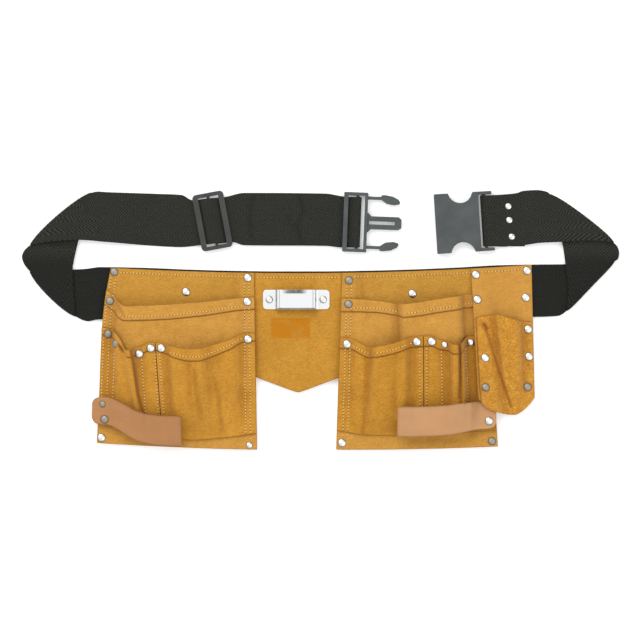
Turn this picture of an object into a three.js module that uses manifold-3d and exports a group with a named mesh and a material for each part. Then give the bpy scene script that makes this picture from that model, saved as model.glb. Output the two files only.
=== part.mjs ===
// A carpenter's nail apron laid flat on a table, seen from above: two leather pouches with a
// pointed bib between them and a tool holster at one side, sewn and riveted to a web belt.
// The belt folds over at both sides and ends in an open side-release buckle with a slide adjuster.
// Millimetres. +X runs along the belt, +Y from the pouch bottoms to the belt, +Z up from the table.
import * as THREE from "three";
import { mergeVertices } from "three/addons/utils/BufferGeometryUtils.js";
import Module from "manifold-3d";

// Leather and webbing
const LEATHER = 2.0;
const LOOP_LEATHER = 2.4;
const CLEARANCE = 0.3;
const WEBBING_WIDTH = 55;
const WEBBING_THICKNESS = 1.8;
const WEBBING_SHOW = 1.6; // how far the belt's edge shows above the apron's top edge
const FOLD_GAP = 1.4;

// Apron
const APRON_OFFSET = -23; // middle of the bib, from the middle of the belt
const TOP_RISE = 8.4; // the top edge curves up by this at TOP_REACH from the bib's middle
const TOP_REACH = 241;
const POUCH_HEIGHT = 186;
const POUCH_TOP_WIDTH = 151;
// How far a pouch's edges run out on the way down, how far the outer one bows out near the top,
// and how far the bottom's outer corner lies above its inner one
const LEFT_EDGES = { inner: 2.8, outer: 14.8, bow: 4, tilt: 0.8 };
const RIGHT_EDGES = { inner: 6, outer: 13, bow: 0, tilt: -2.8 };
const MAIN_DEPTH = 12;
const FRONT_DEPTH = 12;
const BIB_WIDTH = 92;
const BIB_HEIGHT = 126;
const BIB_POINT = 17;
const BIB_LAP = 13; // hidden under each pouch

// Holster
const HOLSTER_WIDTH = 64.5;
const HOLSTER_FOOT_WIDTH = 59;
const HOLSTER_HEIGHT = 157;
const HOLSTER_LAP = 16; // how far it covers the pouch at the top edge
const HOLSTER_SLANT = 9; // how far the left edge runs to the right on its way down
const HOLSTER_DEPTH = 13;

// Hammer loops
const LOOP_WIDTH = 31;
const LEFT_LOOP_LENGTH = 100;
const RIGHT_LOOP_LENGTH = 111;
const LOOP_GAP = 8;
const LEFT_LOOP_DROP = 20.5; // how far the loop sags below its tab
const RIGHT_LOOP_DROP = 6;
const LOOP_OUT = 6; // how far the left tab sticks out over the pouch's edge

// Rivets
const CAP_RADIUS = 4.3;
const CAP_DOME = 1.7;
const SHANK_RADIUS = 1.6;
const BACK_RADIUS = 4.2;
const BACK_THICKNESS = 1.0;

// Steel tool clip on the bib
const CLIP_LENGTH = 70;
const CLIP_HEIGHT = 20.5;
const CLIP_TAB = 13.5;
const CLIP_STEEL = 1.2;
const CLIP_STAND = 8;
const CLIP_BELOW_TOP = 28;

// Belt
const BELT_SPAN = 628; // from one folded end to the other
const UPPER_STRIP_RISE = 55.5; // middle of the upper strip above the apron's top edge
const SLIDER_FROM_TIP = 201;
const MALE_FROM_TIP = 353;
const FEMALE_FROM_TIP = 140.5;
const BELT_RIVETS_FROM_TIP = 115;
const BELT_TAIL = 42; // doubled webbing past the female buckle's bar

// Buckle and slide adjuster
const BAR_RADIUS = 1.7;
const BUCKLE_ARM = 3.2;
const SIDE_GAP = 0.6; // between the webbing's edges and the buckle's arms
const MALE_THICKNESS = 8;
const FEMALE_THICKNESS = 11;
const FEMALE_BODY = 46.2;
const FEMALE_BODY_GAP = 5.9; // from the bar to the body
const NOTCH_RADIUS = 13;
const NOTCH_DEPTH = 10.8;
const FEMALE_WALL = 1.8;
const BUCKLE_TILT = 3.6; // degrees
const MALE_TILT = -2.2;
const MALE_SAG = 2.2; // how far the buckles and the adjuster lie below the strip's middle
const FEMALE_SAG = 1.1;
const SLIDER_SAG = 1;
const PRONG_THICKNESS = 4.4;
const SLIDER_LENGTH = 60;
const SLIDER_WIDTH = 33;
const SLIDER_RAIL = 5.8;
const SLIDER_THICKNESS = 3;
const SLIDER_TILT = 10.6; // degrees
const SLIDER_END = 4.2;
const SQUEEZE = 0.86; // the soft webbing narrows to this share inside the adjuster

const UNDERSIDE = BACK_THICKNESS + CLEARANCE; // leather lies on the rivets' backs
const WEBBING_STEP = WEBBING_THICKNESS + CLEARANCE;
const LEATHER_STEP = LEATHER + CLEARANCE;
const APRON_TOP = 0;
const UPPER_STRIP_Y = APRON_TOP + UPPER_STRIP_RISE;

const wasm = await Module();
wasm.setup();

const clamp = THREE.MathUtils.clamp;
const lerp = THREE.MathUtils.lerp;
const radians = THREE.MathUtils.degToRad;

// A closed geometry as a manifold-3d solid
function solidOf(geometry) {
  const bare = new THREE.BufferGeometry();
  const plain = geometry.index ? geometry.toNonIndexed() : geometry;
  bare.setAttribute("position", plain.getAttribute("position"));
  const merged = mergeVertices(bare, 1e-4);
  return new wasm.Manifold(
    new wasm.Mesh({
      numProp: 3,
      vertProperties: merged.attributes.position.array,
      triVerts: new Uint32Array(merged.index.array),
    }),
  );
}

// A manifold-3d solid as a geometry
function geometryOf(solid) {
  const mesh = solid.getMesh();
  const step = mesh.numProp;
  const position = new Float32Array(mesh.numVert * 3);
  for (let i = 0; i < mesh.numVert; i++) {
    position.set(mesh.vertProperties.subarray(i * step, i * step + 3), i * 3);
  }
  return new THREE.BufferGeometry()
    .setAttribute("position", new THREE.BufferAttribute(position, 3))
    .setIndex(new THREE.BufferAttribute(new Uint32Array(mesh.triVerts), 1));
}

function join(...geometries) {
  return geometryOf(geometries.map(solidOf).reduce((a, b) => a.add(b)));
}

function cut(geometry, ...cutters) {
  return geometryOf(cutters.map(solidOf).reduce((a, b) => a.subtract(b), solidOf(geometry)));
}

function box(x0, x1, y0, y1, z0, z1) {
  return new THREE.BoxGeometry(x1 - x0, y1 - y0, z1 - z0).translate(
    (x0 + x1) / 2,
    (y0 + y1) / 2,
    (z0 + z1) / 2,
  );
}

// A flat outline in X and Y, standing from z0 to z1
function plate(shape, z0, z1, curveSegments = 6) {
  return new THREE.ExtrudeGeometry(shape, {
    depth: z1 - z0,
    bevelEnabled: false,
    curveSegments,
  }).translate(0, 0, z0);
}

// A round bar along Y
function roundBar(x, z, radius, length) {
  return new THREE.CylinderGeometry(radius, radius, length, 10).translate(x, 0, z);
}

// A closed sheet between two grids of points, rows of equal length
function sheetGeometry(lower, upper) {
  const rows = lower.length;
  const columns = lower[0].length;
  const position = [...lower.flat(), ...upper.flat()].flatMap((p) => [p.x, p.y, p.z]);
  const index = [];
  const under = (r, c) => r * columns + c;
  const over = (r, c) => rows * columns + r * columns + c;
  const quad = (a, b, c, d) => index.push(a, b, c, a, c, d);
  for (let r = 0; r + 1 < rows; r++) {
    for (let c = 0; c + 1 < columns; c++) {
      quad(over(r, c), over(r, c + 1), over(r + 1, c + 1), over(r + 1, c));
      quad(under(r, c), under(r + 1, c), under(r + 1, c + 1), under(r, c + 1));
    }
    quad(under(r, 0), over(r, 0), over(r + 1, 0), under(r + 1, 0));
    const last = columns - 1;
    quad(under(r, last), under(r + 1, last), over(r + 1, last), over(r, last));
  }
  for (let c = 0; c + 1 < columns; c++) {
    quad(under(0, c), under(0, c + 1), over(0, c + 1), over(0, c));
    const last = rows - 1;
    quad(under(last, c), over(last, c), over(last, c + 1), under(last, c + 1));
  }
  const geometry = new THREE.BufferGeometry()
    .setAttribute("position", new THREE.Float32BufferAttribute(position, 3))
    .setIndex(index);
  return facingOut(geometry);
}

// The same geometry with its faces turned outwards
function facingOut(geometry) {
  const p = geometry.attributes.position;
  const at = (i) => new THREE.Vector3().fromBufferAttribute(p, i);
  const index = geometry.index.array;
  let volume = 0;
  for (let i = 0; i < index.length; i += 3) {
    volume += at(index[i]).dot(at(index[i + 1]).cross(at(index[i + 2])));
  }
  return volume < 0 ? geometry.setIndex([...index].reverse()) : geometry;
}

// A leather sheet: its underside is the grid and its top lies straight above
function leatherSheet(grid, thickness = LEATHER) {
  const raised = grid.map((row) => row.map((p) => p.clone().setZ(p.z + thickness)));
  return sheetGeometry(grid, raised);
}

// A strap from a list of crossing lines, each with its two ends a and b on the middle of the strap
function strapGeometry(lines, thickness) {
  const middle = lines.map(({ a, b }) => a.clone().add(b).multiplyScalar(0.5));
  const last = lines.length - 1;
  const lower = [];
  const upper = [];
  lines.forEach(({ a, b }, i) => {
    const along = middle[Math.min(i + 1, last)].clone().sub(middle[Math.max(i - 1, 0)]);
    const out = along.cross(a.clone().sub(b)).normalize().multiplyScalar(thickness / 2);
    lower.push([a.clone().sub(out), b.clone().sub(out)]);
    upper.push([a.clone().add(out), b.clone().add(out)]);
  });
  return sheetGeometry(lower, upper);
}

// Heights of what already lies there, looked for straight down or straight up
const ray = new THREE.Raycaster();
const FAR = 500;
function surface(geometries, x, y, fromAbove, ground = 0) {
  const start = new THREE.Vector3(x, y, fromAbove ? FAR : -FAR);
  ray.set(start, new THREE.Vector3(0, 0, fromAbove ? -1 : 1));
  const hits = geometries.flatMap((g) => ray.intersectObject(new THREE.Mesh(g), false));
  const heights = hits.map((hit) => hit.point.z);
  return fromAbove ? Math.max(ground, ...heights) : Math.min(...heights);
}

// How far the apron's top edge, and all that hangs from it, rises away from the bib's middle
function rise(x) {
  const share = (x - APRON_OFFSET) / TOP_REACH;
  return TOP_RISE * share * share;
}

const WEBBING_BOTTOM = APRON_TOP + WEBBING_SHOW - WEBBING_WIDTH;
const BIB_CORNER = APRON_TOP - BIB_HEIGHT + BIB_POINT;

// Pouches. across: share of the width from the inner edge, from LIP_UP upwards; foot: the same
// at the bottom edge; main, front: how far the main and the front pocket stand off there, as
// shares of their depths; mouth, lip: how high the two reach, as shares of the pouch height.
const LIP_UP = 0.58;
const LEFT_COLUMNS = [
  { across: 0.0, foot: 0.0, main: 0, front: 0, mouth: 0.862, lip: 0.66 },
  { across: 0.08, foot: 0.075, main: 0.02, front: 0.02, mouth: 0.858, lip: 0.655 },
  { across: 0.16, foot: 0.15, main: 0.35, front: 0.4, mouth: 0.85, lip: 0.622 },
  { across: 0.3, foot: 0.28, main: 0.6, front: 0.5, mouth: 0.834, lip: 0.583 },
  { across: 0.37, foot: 0.34, main: 0.7, front: 1.0, mouth: 0.827, lip: 0.566 },
  { across: 0.45, foot: 0.4, main: 0.78, front: 0.65, mouth: 0.82, lip: 0.562 },
  { across: 0.55, foot: 0.49, main: 0.87, front: 0.65, mouth: 0.811, lip: 0.572 },
  { across: 0.59, foot: 0.525, main: 0.9, front: 0.03, mouth: 0.807, lip: 0.585 },
  { across: 0.658, foot: 0.581, main: 0.93, front: 0.0, mouth: 0.802, lip: 0.59 },
  { across: 0.69, foot: 0.62, main: 0.95, front: 0.12, mouth: 0.799, lip: 0.588 },
  { across: 0.735, foot: 0.658, main: 0.97, front: 0.0, mouth: 0.796, lip: 0.57 },
  { across: 0.79, foot: 0.69, main: 1.0, front: 0.05, mouth: 0.792, lip: 0.556 },
  { across: 0.82, foot: 0.71, main: 1.0, front: 0.9, mouth: 0.79, lip: 0.54 },
  { across: 0.85, foot: 0.724, main: 0.95, front: 0.85, mouth: 0.788, lip: 0.54 },
  { across: 0.869, foot: 0.742, main: 0.85, front: 0.35, mouth: 0.788, lip: 0.58 },
  { across: 0.9, foot: 0.8, main: 0.55, front: 0.45, mouth: 0.8, lip: 0.62 },
  { across: 0.943, foot: 0.935, main: 0.02, front: 0.0, mouth: 0.842, lip: 0.65 },
  { across: 1.0, foot: 1.0, main: 0, front: 0, mouth: 0.872, lip: 0.66 },
];
const RIGHT_COLUMNS = [
  { across: 0.0, foot: 0.0, main: 0, front: 0, mouth: 0.855, lip: 0.635 },
  { across: 0.08, foot: 0.075, main: 0.03, front: 0.02, mouth: 0.852, lip: 0.628 },
  { across: 0.14, foot: 0.12, main: 0.2, front: 0.2, mouth: 0.848, lip: 0.6 },
  { across: 0.2, foot: 0.17, main: 0.3, front: 0.25, mouth: 0.843, lip: 0.58 },
  { across: 0.24, foot: 0.21, main: 0.33, front: 1.0, mouth: 0.84, lip: 0.582 },
  { across: 0.38, foot: 0.36, main: 0.4, front: 0.95, mouth: 0.82, lip: 0.605 },
  { across: 0.43, foot: 0.42, main: 1.0, front: 0.6, mouth: 0.817, lip: 0.62 },
  { across: 0.47, foot: 0.46, main: 1.0, front: 0.03, mouth: 0.819, lip: 0.63 },
  { across: 0.552, foot: 0.54, main: 1.0, front: 0.0, mouth: 0.826, lip: 0.634 },
  { across: 0.605, foot: 0.59, main: 1.0, front: 0.1, mouth: 0.832, lip: 0.632 },
  { across: 0.66, foot: 0.645, main: 1.0, front: 0.0, mouth: 0.838, lip: 0.612 },
  { across: 0.715, foot: 0.7, main: 0.98, front: 0.05, mouth: 0.843, lip: 0.6 },
  { across: 0.74, foot: 0.725, main: 0.97, front: 0.9, mouth: 0.845, lip: 0.583 },
  { across: 0.77, foot: 0.755, main: 0.96, front: 1.0, mouth: 0.847, lip: 0.58 },
  { across: 0.787, foot: 0.772, main: 0.9, front: 0.45, mouth: 0.849, lip: 0.58 },
  { across: 0.805, foot: 0.795, main: 0.75, front: 0.8, mouth: 0.851, lip: 0.59 },
  { across: 0.84, foot: 0.84, main: 0.02, front: 0.03, mouth: 0.857, lip: 0.62 },
  { across: 1.0, foot: 1.0, main: 0, front: 0, mouth: 0.86, lip: 0.63 },
];
// Rows from the bottom edge up. up: share of the pouch height, or the column's own mouth or lip;
// main, front: how much of the stand the two pockets have at that row.
const ROWS = [
  { up: 0.0, main: 0, front: 0 },
  { up: 0.04, main: 0.03, front: 0 },
  { up: 0.085, main: 0.2, front: 0 },
  { up: 0.19, main: 0.6, front: 0.5 },
  { up: 0.33, main: 0.85, front: 0.82 },
  { up: 0.46, main: 0.95, front: 0.95 },
  { up: "lip", main: 1.0, front: 1.0 },
  { up: 0.72, main: 1.0, front: 1.0 },
  { up: "mouth", main: 1.0, front: 1.0 },
  { up: 1.0, main: 1.0, front: 1.0 },
];
const FRONT_FOOT_ROW = 2;
const FRONT_LIP_ROW = 6;
const MAIN_MOUTH_ROW = 8;

// Where a share of a pouch lies. side is -1 for the left pouch and 1 for the right
function pouchPoint(side, across, up) {
  const edges = side < 0 ? LEFT_EDGES : RIGHT_EDGES;
  const inner = BIB_WIDTH / 2 - edges.inner * (1 - up);
  const width = POUCH_TOP_WIDTH + (edges.inner + edges.outer) * (1 - up);
  const bow = edges.bow * Math.sin(Math.PI * up ** 1.8) * across ** 6;
  const x = APRON_OFFSET + side * (inner + across * width + bow);
  const y = APRON_TOP + rise(x) - (POUCH_HEIGHT - edges.tilt * across) * (1 - up);
  return new THREE.Vector3(x, y, 0);
}

// The three layers of a pouch, as grids that share every point's x and y
function pouchGrids(side, columns) {
  const lay = ROWS.map((row) =>
    columns.map((column) => {
      const up = typeof row.up === "string" ? column[row.up] : row.up;
      const share = clamp(up / LIP_UP, 0, 1);
      return pouchPoint(side, lerp(column.foot, column.across, share), up);
    }),
  );
  // A point is lifted if a cell beside it covers the webbing or the bib
  const bibEdge = BIB_WIDTH / 2 + BIB_LAP;
  const near = (list, i) => list[clamp(i, 0, list.length - 1)];
  const backing = lay.map((row, r) =>
    row.map((p, c) => {
      const highY = near(lay, r + 1)[c].y - rise(p.x);
      const innerX = Math.abs(near(row, c - 1).x - APRON_OFFSET);
      const onWebbing = highY > WEBBING_BOTTOM;
      const onBib = innerX < bibEdge && highY > BIB_CORNER;
      const lift = onBib ? WEBBING_STEP + LEATHER_STEP : onWebbing ? WEBBING_STEP : 0;
      return p.clone().setZ(UNDERSIDE + lift);
    }),
  );
  const over = (grid, key, depth) =>
    grid.map((row, r) =>
      row.map((p, c) =>
        p.clone().setZ(p.z + LEATHER_STEP + depth * columns[c][key] * ROWS[r][key]),
      ),
    );
  const main = over(backing, "main", MAIN_DEPTH);
  return { backing, main, front: over(main, "front", FRONT_DEPTH) };
}

// Part of a grid, with its first and last column drawn in by half a gap where asked
function part(grid, rows, columns, drawIn = [0, 0]) {
  return grid.slice(rows[0], rows[1] + 1).map((row) => {
    const cells = row.slice(columns[0], columns[1] + 1).map((p) => p.clone());
    const way = Math.sign(cells.at(-1).x - cells[0].x);
    cells[0].x += way * drawIn[0];
    cells.at(-1).x -= way * drawIn[1];
    return cells;
  });
}

const SEAM_COLUMN = 8; // the front pocket ends here and the tool sleeve begins
const pieces = {};
for (const [name, side, columns] of [
  ["left", -1, LEFT_COLUMNS],
  ["right", 1, RIGHT_COLUMNS],
]) {
  const grids = pouchGrids(side, columns);
  const outer = columns.length - 1;
  const frontRows = [FRONT_FOOT_ROW, FRONT_LIP_ROW];
  const pocket = part(grids.front, frontRows, [0, SEAM_COLUMN], [0, CLEARANCE]);
  const sleeve = part(grids.front, frontRows, [SEAM_COLUMN, outer], [CLEARANCE, 0]);
  pieces[`${name}_backing`] = leatherSheet(grids.backing);
  pieces[`${name}_main_pocket`] = leatherSheet(
    part(grids.main, [0, MAIN_MOUTH_ROW], [0, outer]),
  );
  pieces[`${name}_front_pocket`] = leatherSheet(pocket);
  pieces[`${name}_tool_sleeve`] = leatherSheet(sleeve);
}

// Bib: flat over the webbing, its side margins under the pouches
function bibGeometry() {
  const half = BIB_WIDTH / 2;
  const edges = [-half - BIB_LAP, -half, -half / 2, 0, half / 2, half, half + BIB_LAP];
  const foot = (x) => BIB_CORNER - BIB_POINT * clamp(1 - Math.abs(x) / half, 0, 1);
  const rows = [0, 0.5, 1].map((share) =>
    edges.map((x) => {
      const y = lerp(foot(x), APRON_TOP, share) + rise(APRON_OFFSET + x);
      return new THREE.Vector3(APRON_OFFSET + x, y, UNDERSIDE + WEBBING_STEP);
    }),
  );
  return leatherSheet(rows);
}
pieces.bib = bibGeometry();

// Belt. Each crossing line has an end a on the edge that is the upper strip's top edge
const TIP = BELT_SPAN / 2;
const LOW_LAYER = WEBBING_THICKNESS / 2;
const WRAP_RADIUS = BAR_RADIUS + CLEARANCE + WEBBING_THICKNESS / 2;
const FEMALE_LIFT = UNDERSIDE;
const sliderX = -TIP + SLIDER_FROM_TIP;
const maleX = -TIP + MALE_FROM_TIP;
const femaleX = TIP - FEMALE_FROM_TIP;
const maleBarZ = LOW_LAYER + WRAP_RADIUS;
const femaleBarZ = FEMALE_LIFT + LOW_LAYER + WRAP_RADIUS;
const sliderBottom = 2 * WEBBING_THICKNESS + 2 * CLEARANCE;
const sliderBarZ = sliderBottom + SLIDER_THICKNESS / 2;

// A line straight across the upper strip, leaning by lean degrees
function acrossUpper(x, z, lean = 0, width = 1, climb = 0) {
  const half = (WEBBING_WIDTH * width) / 2;
  const shift = Math.tan(radians(lean)) * half;
  return {
    a: new THREE.Vector3(x - shift, UPPER_STRIP_Y + climb + half, z),
    b: new THREE.Vector3(x + shift, UPPER_STRIP_Y + climb - half, z),
  };
}

// Lines round a bar, from one angle to another, in degrees above +X
function roundBarLines(x, z, radius, from, to, lean, width, climb) {
  const steps = 6;
  return Array.from({ length: steps + 1 }, (_, i) => {
    const turn = radians(lerp(from, to, i / steps));
    const across = x + radius * Math.cos(turn);
    return acrossUpper(across, z + radius * Math.sin(turn), lean, width, climb);
  });
}

// Folded ends of the belt, as crossing lines. Each end of a line: share of the webbing width from
// the tip, and height above the strip's own edge there. The strap comes in along the upper strip,
// is folded under along a slanting line at the top, runs down, and is folded under again along a
// second line, into the lower strip. lift: share of the climb to the top of the fold.
const FOLDED_ENDS = {
  left: {
    upper: [
      { a: [1.64, 1.8], b: [1.64, 4.4], lift: 1 },
      { a: [1.47, 2.4], b: [1.09, 6.6], lift: 1 },
      { a: [1.39, 1.8], b: [0.65, 5.3], lift: 1 },
      { a: [1.34, 0.9], b: [0.18, 1.3], lift: 1 },
    ],
    middle: [
      { a: [1.08, 3.4], b: [0.07, -3.4] },
      { a: [1.02, -10.8], b: [0.01, -11.1] },
      { a: [0.98, -25], b: [0.06, -19.2] },
    ],
    lower: [
      { a: [1.03, 2.7], b: [0.17, -5.6] },
      { a: [1.28, -3.0], b: [1.24, -2.8] },
    ],
  },
  right: {
    upper: [
      { a: [1.83, 3.2], b: [1.83, 1.1], lift: 0.25 },
      { a: [1.57, 4.0], b: [1.51, 3.5], lift: 0.9 },
      { a: [1.4, 2.6], b: [1.07, 4.6], lift: 1 },
      { a: [1.34, 0.9], b: [0.55, 6.0], lift: 1 },
      { a: [1.32, -0.8], b: [0.1, 3.7], lift: 1 },
    ],
    middle: [
      { a: [1.06, -1.9], b: [0.02, -0.6] },
      { a: [1.04, -9.2], b: [-0.01, -6.6] },
      { a: [1.02, -18.6], b: [0.01, -12.9] },
      { a: [0.96, -46], b: [0.04, -14.5] },
    ],
    lower: [
      { a: [0.99, 5.4], b: [0.09, 1.9] },
      { a: [1.15, -0.4], b: [1.09, -1.2] },
    ],
  },
};

// side is -1 at the left end and 1 at the right
function foldedEnd(side, lowEdge) {
  const step = WEBBING_THICKNESS + FOLD_GAP;
  const { upper, middle, lower } = side < 0 ? FOLDED_ENDS.left : FOLDED_ENDS.right;
  const top = UPPER_STRIP_Y + WEBBING_WIDTH / 2;
  const bottom = UPPER_STRIP_Y - WEBBING_WIDTH / 2;
  const line = ({ a, b }, edgeA, edgeB, z) => ({
    a: new THREE.Vector3(side * (TIP - a[0] * WEBBING_WIDTH), edgeA + a[1], z),
    b: new THREE.Vector3(side * (TIP - b[0] * WEBBING_WIDTH), edgeB + b[1], z),
  });
  // Half a turn round the folding line, outwards and down by one step
  const bend = (edge, up) => {
    const way = edge.a.clone().sub(edge.b).normalize();
    const out = new THREE.Vector3(side * Math.abs(way.y), up * Math.abs(way.x), 0);
    return [0, 45, 90, 135, 180].map((degrees) => {
      const turn = radians(degrees);
      const push = out.clone().multiplyScalar((Math.sin(turn) * step) / 2);
      push.z = (-step / 2) * (1 - Math.cos(turn));
      return { a: edge.a.clone().add(push), b: edge.b.clone().add(push) };
    });
  };
  const onTable = LOW_LAYER + (side > 0 ? FEMALE_LIFT + WEBBING_STEP : 0);
  const foldTop = LOW_LAYER + 2 * step;
  const coming = upper.map((edge) => line(edge, top, bottom, lerp(onTable, foldTop, edge.lift)));
  const under = lower.map((edge) => line(edge, lowEdge, lowEdge + WEBBING_WIDTH, LOW_LAYER + step));
  const [folded, beyond] = under;
  beyond.a.z = LOW_LAYER + UNDERSIDE / 2;
  beyond.b.z = beyond.a.z;
  return [
    ...coming.slice(0, -1),
    ...bend(coming.at(-1), 1),
    ...middle.map((edge) => line(edge, bottom, bottom, LOW_LAYER + step)),
    ...bend(folded, -1),
    beyond,
  ];
}

// The strip behind the apron, from its left end to its right end, sagging a little at both
function lowerStrip(fromX, toX) {
  const steps = 10;
  return Array.from({ length: steps + 1 }, (_, i) => {
    const x = lerp(fromX, toX, i / steps);
    const sag = { 0: 1.7, [steps]: 2.4 }[i] ?? 0;
    const bottom = WEBBING_BOTTOM + rise(x) - sag;
    const z = UNDERSIDE + LOW_LAYER;
    return {
      a: new THREE.Vector3(x, bottom, z),
      b: new THREE.Vector3(x, bottom + WEBBING_WIDTH, z),
    };
  });
}

const apronLeft = APRON_OFFSET - BIB_WIDTH / 2 - POUCH_TOP_WIDTH;
const holsterRight =
  APRON_OFFSET + BIB_WIDTH / 2 + POUCH_TOP_WIDTH - HOLSTER_LAP + HOLSTER_WIDTH;

function beltLines() {
  const layer = WEBBING_THICKNESS + CLEARANCE;
  const overSlider = sliderBarZ + 2 * WRAP_RADIUS - LOW_LAYER + CLEARANCE;
  const window = SLIDER_WIDTH / 2 - SLIDER_RAIL;
  const lean = SLIDER_TILT;
  const half = Math.tan(radians(lean)) / 2;
  const squeezed = (x, z) =>
    acrossUpper(x, z, lean, SQUEEZE, (x - sliderX) * half - SLIDER_SAG);
  const leftFold = foldedEnd(-1, WEBBING_BOTTOM + rise(apronLeft));
  const rightFold = foldedEnd(1, WEBBING_BOTTOM + rise(holsterRight)).reverse();
  return [
    // sewn end round the adjuster's middle bar, then the under layer to the male buckle
    ...roundBarLines(sliderX, sliderBarZ, WRAP_RADIUS, 60, 270, lean, SQUEEZE, -SLIDER_SAG),
    squeezed(sliderX + window, LOW_LAYER),
    squeezed(sliderX + SLIDER_WIDTH / 2, LOW_LAYER),
    acrossUpper(sliderX + SLIDER_WIDTH, LOW_LAYER, 0, 1, 1.2),
    acrossUpper(maleX - SLIDER_WIDTH, LOW_LAYER, 0, 1, 0.5),
    acrossUpper(maleX - 17, LOW_LAYER, 0, 0.98, -1.6),
    ...roundBarLines(maleX, maleBarZ, WRAP_RADIUS, -90, 90, MALE_TILT, 0.96, -MALE_SAG),
    // the top layer back through the adjuster
    acrossUpper(maleX - 9, LOW_LAYER + layer, MALE_TILT, 0.96, -2),
    acrossUpper(maleX - 17, LOW_LAYER + layer, 0, 0.98, -1.6),
    acrossUpper(maleX - SLIDER_WIDTH, LOW_LAYER + layer, 0, 1, 0.5),
    acrossUpper(sliderX + SLIDER_WIDTH, LOW_LAYER + layer, 0, 1, 1.2),
    squeezed(sliderX + SLIDER_WIDTH / 2, LOW_LAYER + layer),
    squeezed(sliderX + window, LOW_LAYER + layer),
    squeezed(sliderX + BAR_RADIUS, overSlider),
    squeezed(sliderX - BAR_RADIUS, overSlider),
    squeezed(sliderX - window, LOW_LAYER + layer),
    squeezed(sliderX - SLIDER_WIDTH / 2, LOW_LAYER + layer),
    acrossUpper(sliderX - SLIDER_WIDTH, LOW_LAYER, 0, 1, -0.8),
    acrossUpper(-TIP + 2.6 * WEBBING_WIDTH, LOW_LAYER, 0, 1, 0.3),
    ...leftFold,
    ...lowerStrip(-TIP + 1.5 * WEBBING_WIDTH, TIP - 1.4 * WEBBING_WIDTH),
    ...rightFold,
    acrossUpper(TIP - BELT_RIVETS_FROM_TIP + 8, FEMALE_LIFT + LOW_LAYER + layer, 0, 1, 1),
    acrossUpper(TIP - BELT_RIVETS_FROM_TIP - 6, FEMALE_LIFT + LOW_LAYER + layer, 0, 1, -0.5),
    ...roundBarLines(femaleX, femaleBarZ, WRAP_RADIUS, 90, 270, BUCKLE_TILT, 0.97, -0.8),
    acrossUpper(femaleX + BELT_TAIL, FEMALE_LIFT + LOW_LAYER),
  ];
}
pieces.webbing = strapGeometry(beltLines(), WEBBING_THICKNESS);

// Tool clip: a steel strap standing off the bib, with a flat riveted tab at either end
const clipX = APRON_OFFSET - 2;
const clipY = APRON_TOP - CLIP_BELOW_TOP;
function clipGeometry() {
  const z = UNDERSIDE + WEBBING_STEP + LEATHER_STEP;
  const half = CLIP_LENGTH / 2;
  const inner = half - CLIP_TAB;
  const foot = CLIP_STEEL * 1.6;
  const upper = [
    [-half, CLIP_STEEL],
    [-inner - foot / 2, CLIP_STEEL],
    [-inner + foot / 2, CLIP_STAND],
    [inner - foot / 2, CLIP_STAND],
    [inner + foot / 2, CLIP_STEEL],
    [half, CLIP_STEEL],
  ];
  const lower = [
    [half, 0],
    [inner - foot / 3, 0],
    [inner - foot * 1.2, CLIP_STAND - CLIP_STEEL],
    [-inner + foot * 1.2, CLIP_STAND - CLIP_STEEL],
    [-inner + foot / 3, 0],
    [-half, 0],
  ];
  const profile = new THREE.Shape([...upper, ...lower].map(([x, h]) => new THREE.Vector2(x, h)));
  const strap = plate(profile, -CLIP_HEIGHT / 2, CLIP_HEIGHT / 2)
    .rotateX(Math.PI / 2)
    .translate(clipX, clipY, z);
  const blank = plate(roundedRectangle(CLIP_LENGTH, CLIP_HEIGHT, 4), 0, CLIP_STAND + 1, 3);
  blank.translate(clipX, clipY, z - 0.5);
  return geometryOf(solidOf(strap).intersect(solidOf(blank)));
}

function roundedRectangle(length, height, radius) {
  const x = length / 2;
  const y = height / 2;
  const turn = Math.PI / 2;
  const shape = new THREE.Shape();
  shape.absarc(x - radius, y - radius, radius, 0, turn);
  shape.absarc(-x + radius, y - radius, radius, turn, 2 * turn);
  shape.absarc(-x + radius, -y + radius, radius, 2 * turn, 3 * turn);
  shape.absarc(x - radius, -y + radius, radius, 3 * turn, 4 * turn);
  return shape;
}
pieces.tool_clip = clipGeometry();

// Outlines given as points, and their mirror images below the middle line
const outline = (points) => new THREE.Shape(points.map(([x, y]) => new THREE.Vector2(x, y)));
const mirrored = (points) => points.map(([x, y]) => [x, -y]).reverse();

const INSIDE = WEBBING_WIDTH / 2 + SIDE_GAP; // from the middle line to a buckle's arm
const OUTSIDE = INSIDE + BUCKLE_ARM;

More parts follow.
